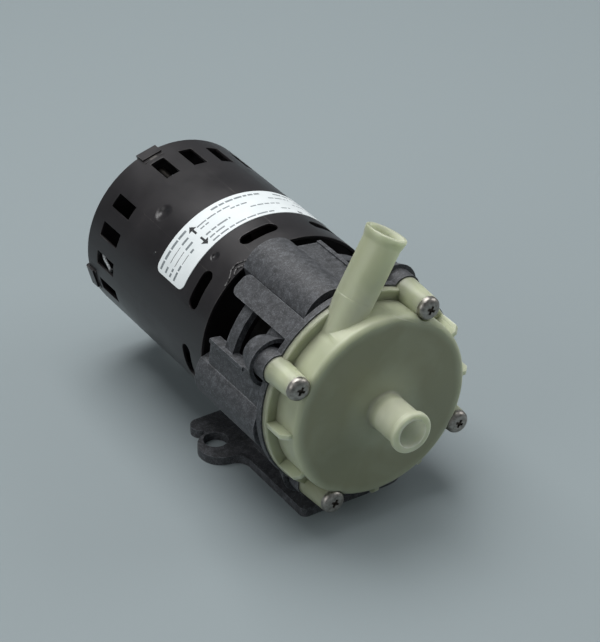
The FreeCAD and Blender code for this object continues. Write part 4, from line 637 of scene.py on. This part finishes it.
# The copper is coloured a dark brown, as painted shade for the dark inside the shell.
copper, tree, place, surface = new_material("varnished copper wire darkened for shade")
strands = add_node(tree, "ShaderNodeTexWave", {
    "Vector": place, "Scale": WAVE * grain(1.496), "Distortion": 2.0, "Detail": 2.0}, wave_type="RINGS",
    rings_direction="Y")
copper_colour = add_node(tree, "ShaderNodeValToRGB", {"Fac": strands.outputs["Fac"]})
ramp_colours(copper_colour, [(0.2, "24130b"), (0.7, "4f2c1a")])
copper_bump = add_node(tree, "ShaderNodeBump", {
    "Height": strands.outputs["Fac"], "Strength": 0.6, "Distance": 0.3 * MM})
copper_shader = add_node(tree, "ShaderNodeBsdfPrincipled", {
    "Base Color": copper_colour.outputs["Color"], "Metallic": 0.6, "Roughness": 0.4,
    "Normal": copper_bump.outputs["Normal"]})
tree.links.new(copper_shader.outputs[0], surface)
dress_node("stator_winding", copper)

# One lead in a woven glass sleeve comes through the rear bell's plate, loops forward past a window
# and goes back to it.
lead_sleeve, tree, place, surface = new_material("woven glass sleeve")
sleeve_weave = add_node(tree, "ShaderNodeTexNoise", {
    "Vector": place, "Scale": grain(0.5556), "Detail": 2.0})
sleeve_colour = add_node(tree, "ShaderNodeValToRGB", {"Fac": sleeve_weave.outputs["Fac"]})
ramp_colours(sleeve_colour, [(0.35, "a9adae"), (0.65, "e4e8ea")])
sleeve_shader = add_node(tree, "ShaderNodeBsdfPrincipled", {
    "Base Color": sleeve_colour.outputs["Color"], "Roughness": 0.3, "IOR": 1.5})
tree.links.new(sleeve_shader.outputs[0], surface)
lead_curve = bpy.data.curves.new("winding_lead", "CURVE")
lead_curve.dimensions = "3D"
lead_curve.bevel_depth = 0.6 * MM
lead_curve.bevel_resolution = 4
lead_route = (
    (171.0, 35.0, 86.6), (175.0, 38.8, 86.0), (177.6, 39.5, 83.3), (179.3, 39.5, 80.4),
    (182.0, 39.5, 78.2), (186.0, 39.2, 80.4), (188.5, 38.4, 84.6), (191.0, 35.0, 86.6),
)
lay_run(lead_curve, [(angle, radius * MM, station) for angle, radius, station in lead_route])
winding_lead = bpy.data.objects.new("winding_lead", lead_curve)
scene.collection.objects.link(winding_lead)
lead_curve.materials.append(lead_sleeve)
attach(winding_lead, "pump_body")

cast_aluminium, tree, place, surface = new_material("cast aluminium")
casting = add_node(tree, "ShaderNodeTexNoise", {"Vector": place, "Scale": grain(1.6667), "Detail": 3.0})
casting_colour = add_node(tree, "ShaderNodeValToRGB", {"Fac": casting.outputs["Fac"]})
ramp_colours(casting_colour, [(0.3, "a3a4a4"), (0.7, "bebfbf")])
casting_shader = add_node(tree, "ShaderNodeBsdfPrincipled", {
    "Base Color": casting_colour.outputs["Color"], "Metallic": 1.0, "Roughness": 0.5})
tree.links.new(casting_shader.outputs[0], surface)
dress_node("rotor_cage", cast_aluminium)

# Bearings and their small parts: oil-filled sintered bronze sleeves, oiled wool felt beside them,
# phenolic thrust washers on the shaft.
bronze, tree, place, surface = new_material("sintered bronze")
pores = add_node(tree, "ShaderNodeTexNoise", {"Vector": place, "Scale": grain(0.4), "Detail": 4.0})
bronze_colour = add_node(tree, "ShaderNodeValToRGB", {"Fac": pores.outputs["Fac"]})
ramp_colours(bronze_colour, [(0.35, "5f4527"), (0.65, "9c7646")])
bronze_shader = add_node(tree, "ShaderNodeBsdfPrincipled", {
    "Base Color": bronze_colour.outputs["Color"], "Metallic": 0.9, "Roughness": 0.48})
tree.links.new(bronze_shader.outputs[0], surface)
for sleeve in ("front_bearing", "rear_bearing"):
    dress_node(sleeve, bronze)

felt, tree, place, surface = new_material("oiled wool felt")
fibres = add_node(tree, "ShaderNodeTexNoise", {
    "Vector": place, "Scale": grain(0.6667), "Detail": 6.0, "Distortion": 2.0})
felt_colour = add_node(tree, "ShaderNodeValToRGB", {"Fac": fibres.outputs["Fac"]})
ramp_colours(felt_colour, [(0.3, "6e6247"), (0.7, "9a8c69")])
felt_shader = add_node(tree, "ShaderNodeBsdfPrincipled", {
    "Base Color": felt_colour.outputs["Color"], "Roughness": 0.9})
tree.links.new(felt_shader.outputs[0], surface)
for wick in ("front_oil_felt", "rear_oil_felt"):
    dress_node(wick, felt)

phenolic, tree, place, surface = new_material("phenolic sheet")
weave = add_node(tree, "ShaderNodeTexNoise", {"Vector": place, "Scale": grain(1.111), "Detail": 3.0})
phenolic_colour = add_node(tree, "ShaderNodeValToRGB", {"Fac": weave.outputs["Fac"]})
ramp_colours(phenolic_colour, [(0.3, "7b5c36"), (0.7, "96744a")])
phenolic_shader = add_node(tree, "ShaderNodeBsdfPrincipled", {
    "Base Color": phenolic_colour.outputs["Color"], "Roughness": 0.5})
tree.links.new(phenolic_shader.outputs[0], surface)
dress_node("shaft_thrust_washers", phenolic)

# The cooling fan: black nylon, moulded in one piece and pressed on the shaft. Its near-black
# colour also serves as painted shade inside the shell.
fan_nylon, tree, place, surface = new_material("moulded black nylon")
fan_grain = add_node(tree, "ShaderNodeTexNoise", {"Vector": place, "Scale": grain(0.7143), "Detail": 2.0})
fan_bump = add_node(tree, "ShaderNodeBump", {
    "Height": fan_grain.outputs["Fac"], "Strength": 0.15, "Distance": 0.06 * MM})
fan_shader = add_node(tree, "ShaderNodeBsdfPrincipled", {
    "Base Color": linear("111112"), "Roughness": 0.5, "Normal": fan_bump.outputs["Normal"]})
tree.links.new(fan_shader.outputs[0], surface)
dress_node("cooling_fan", fan_nylon)
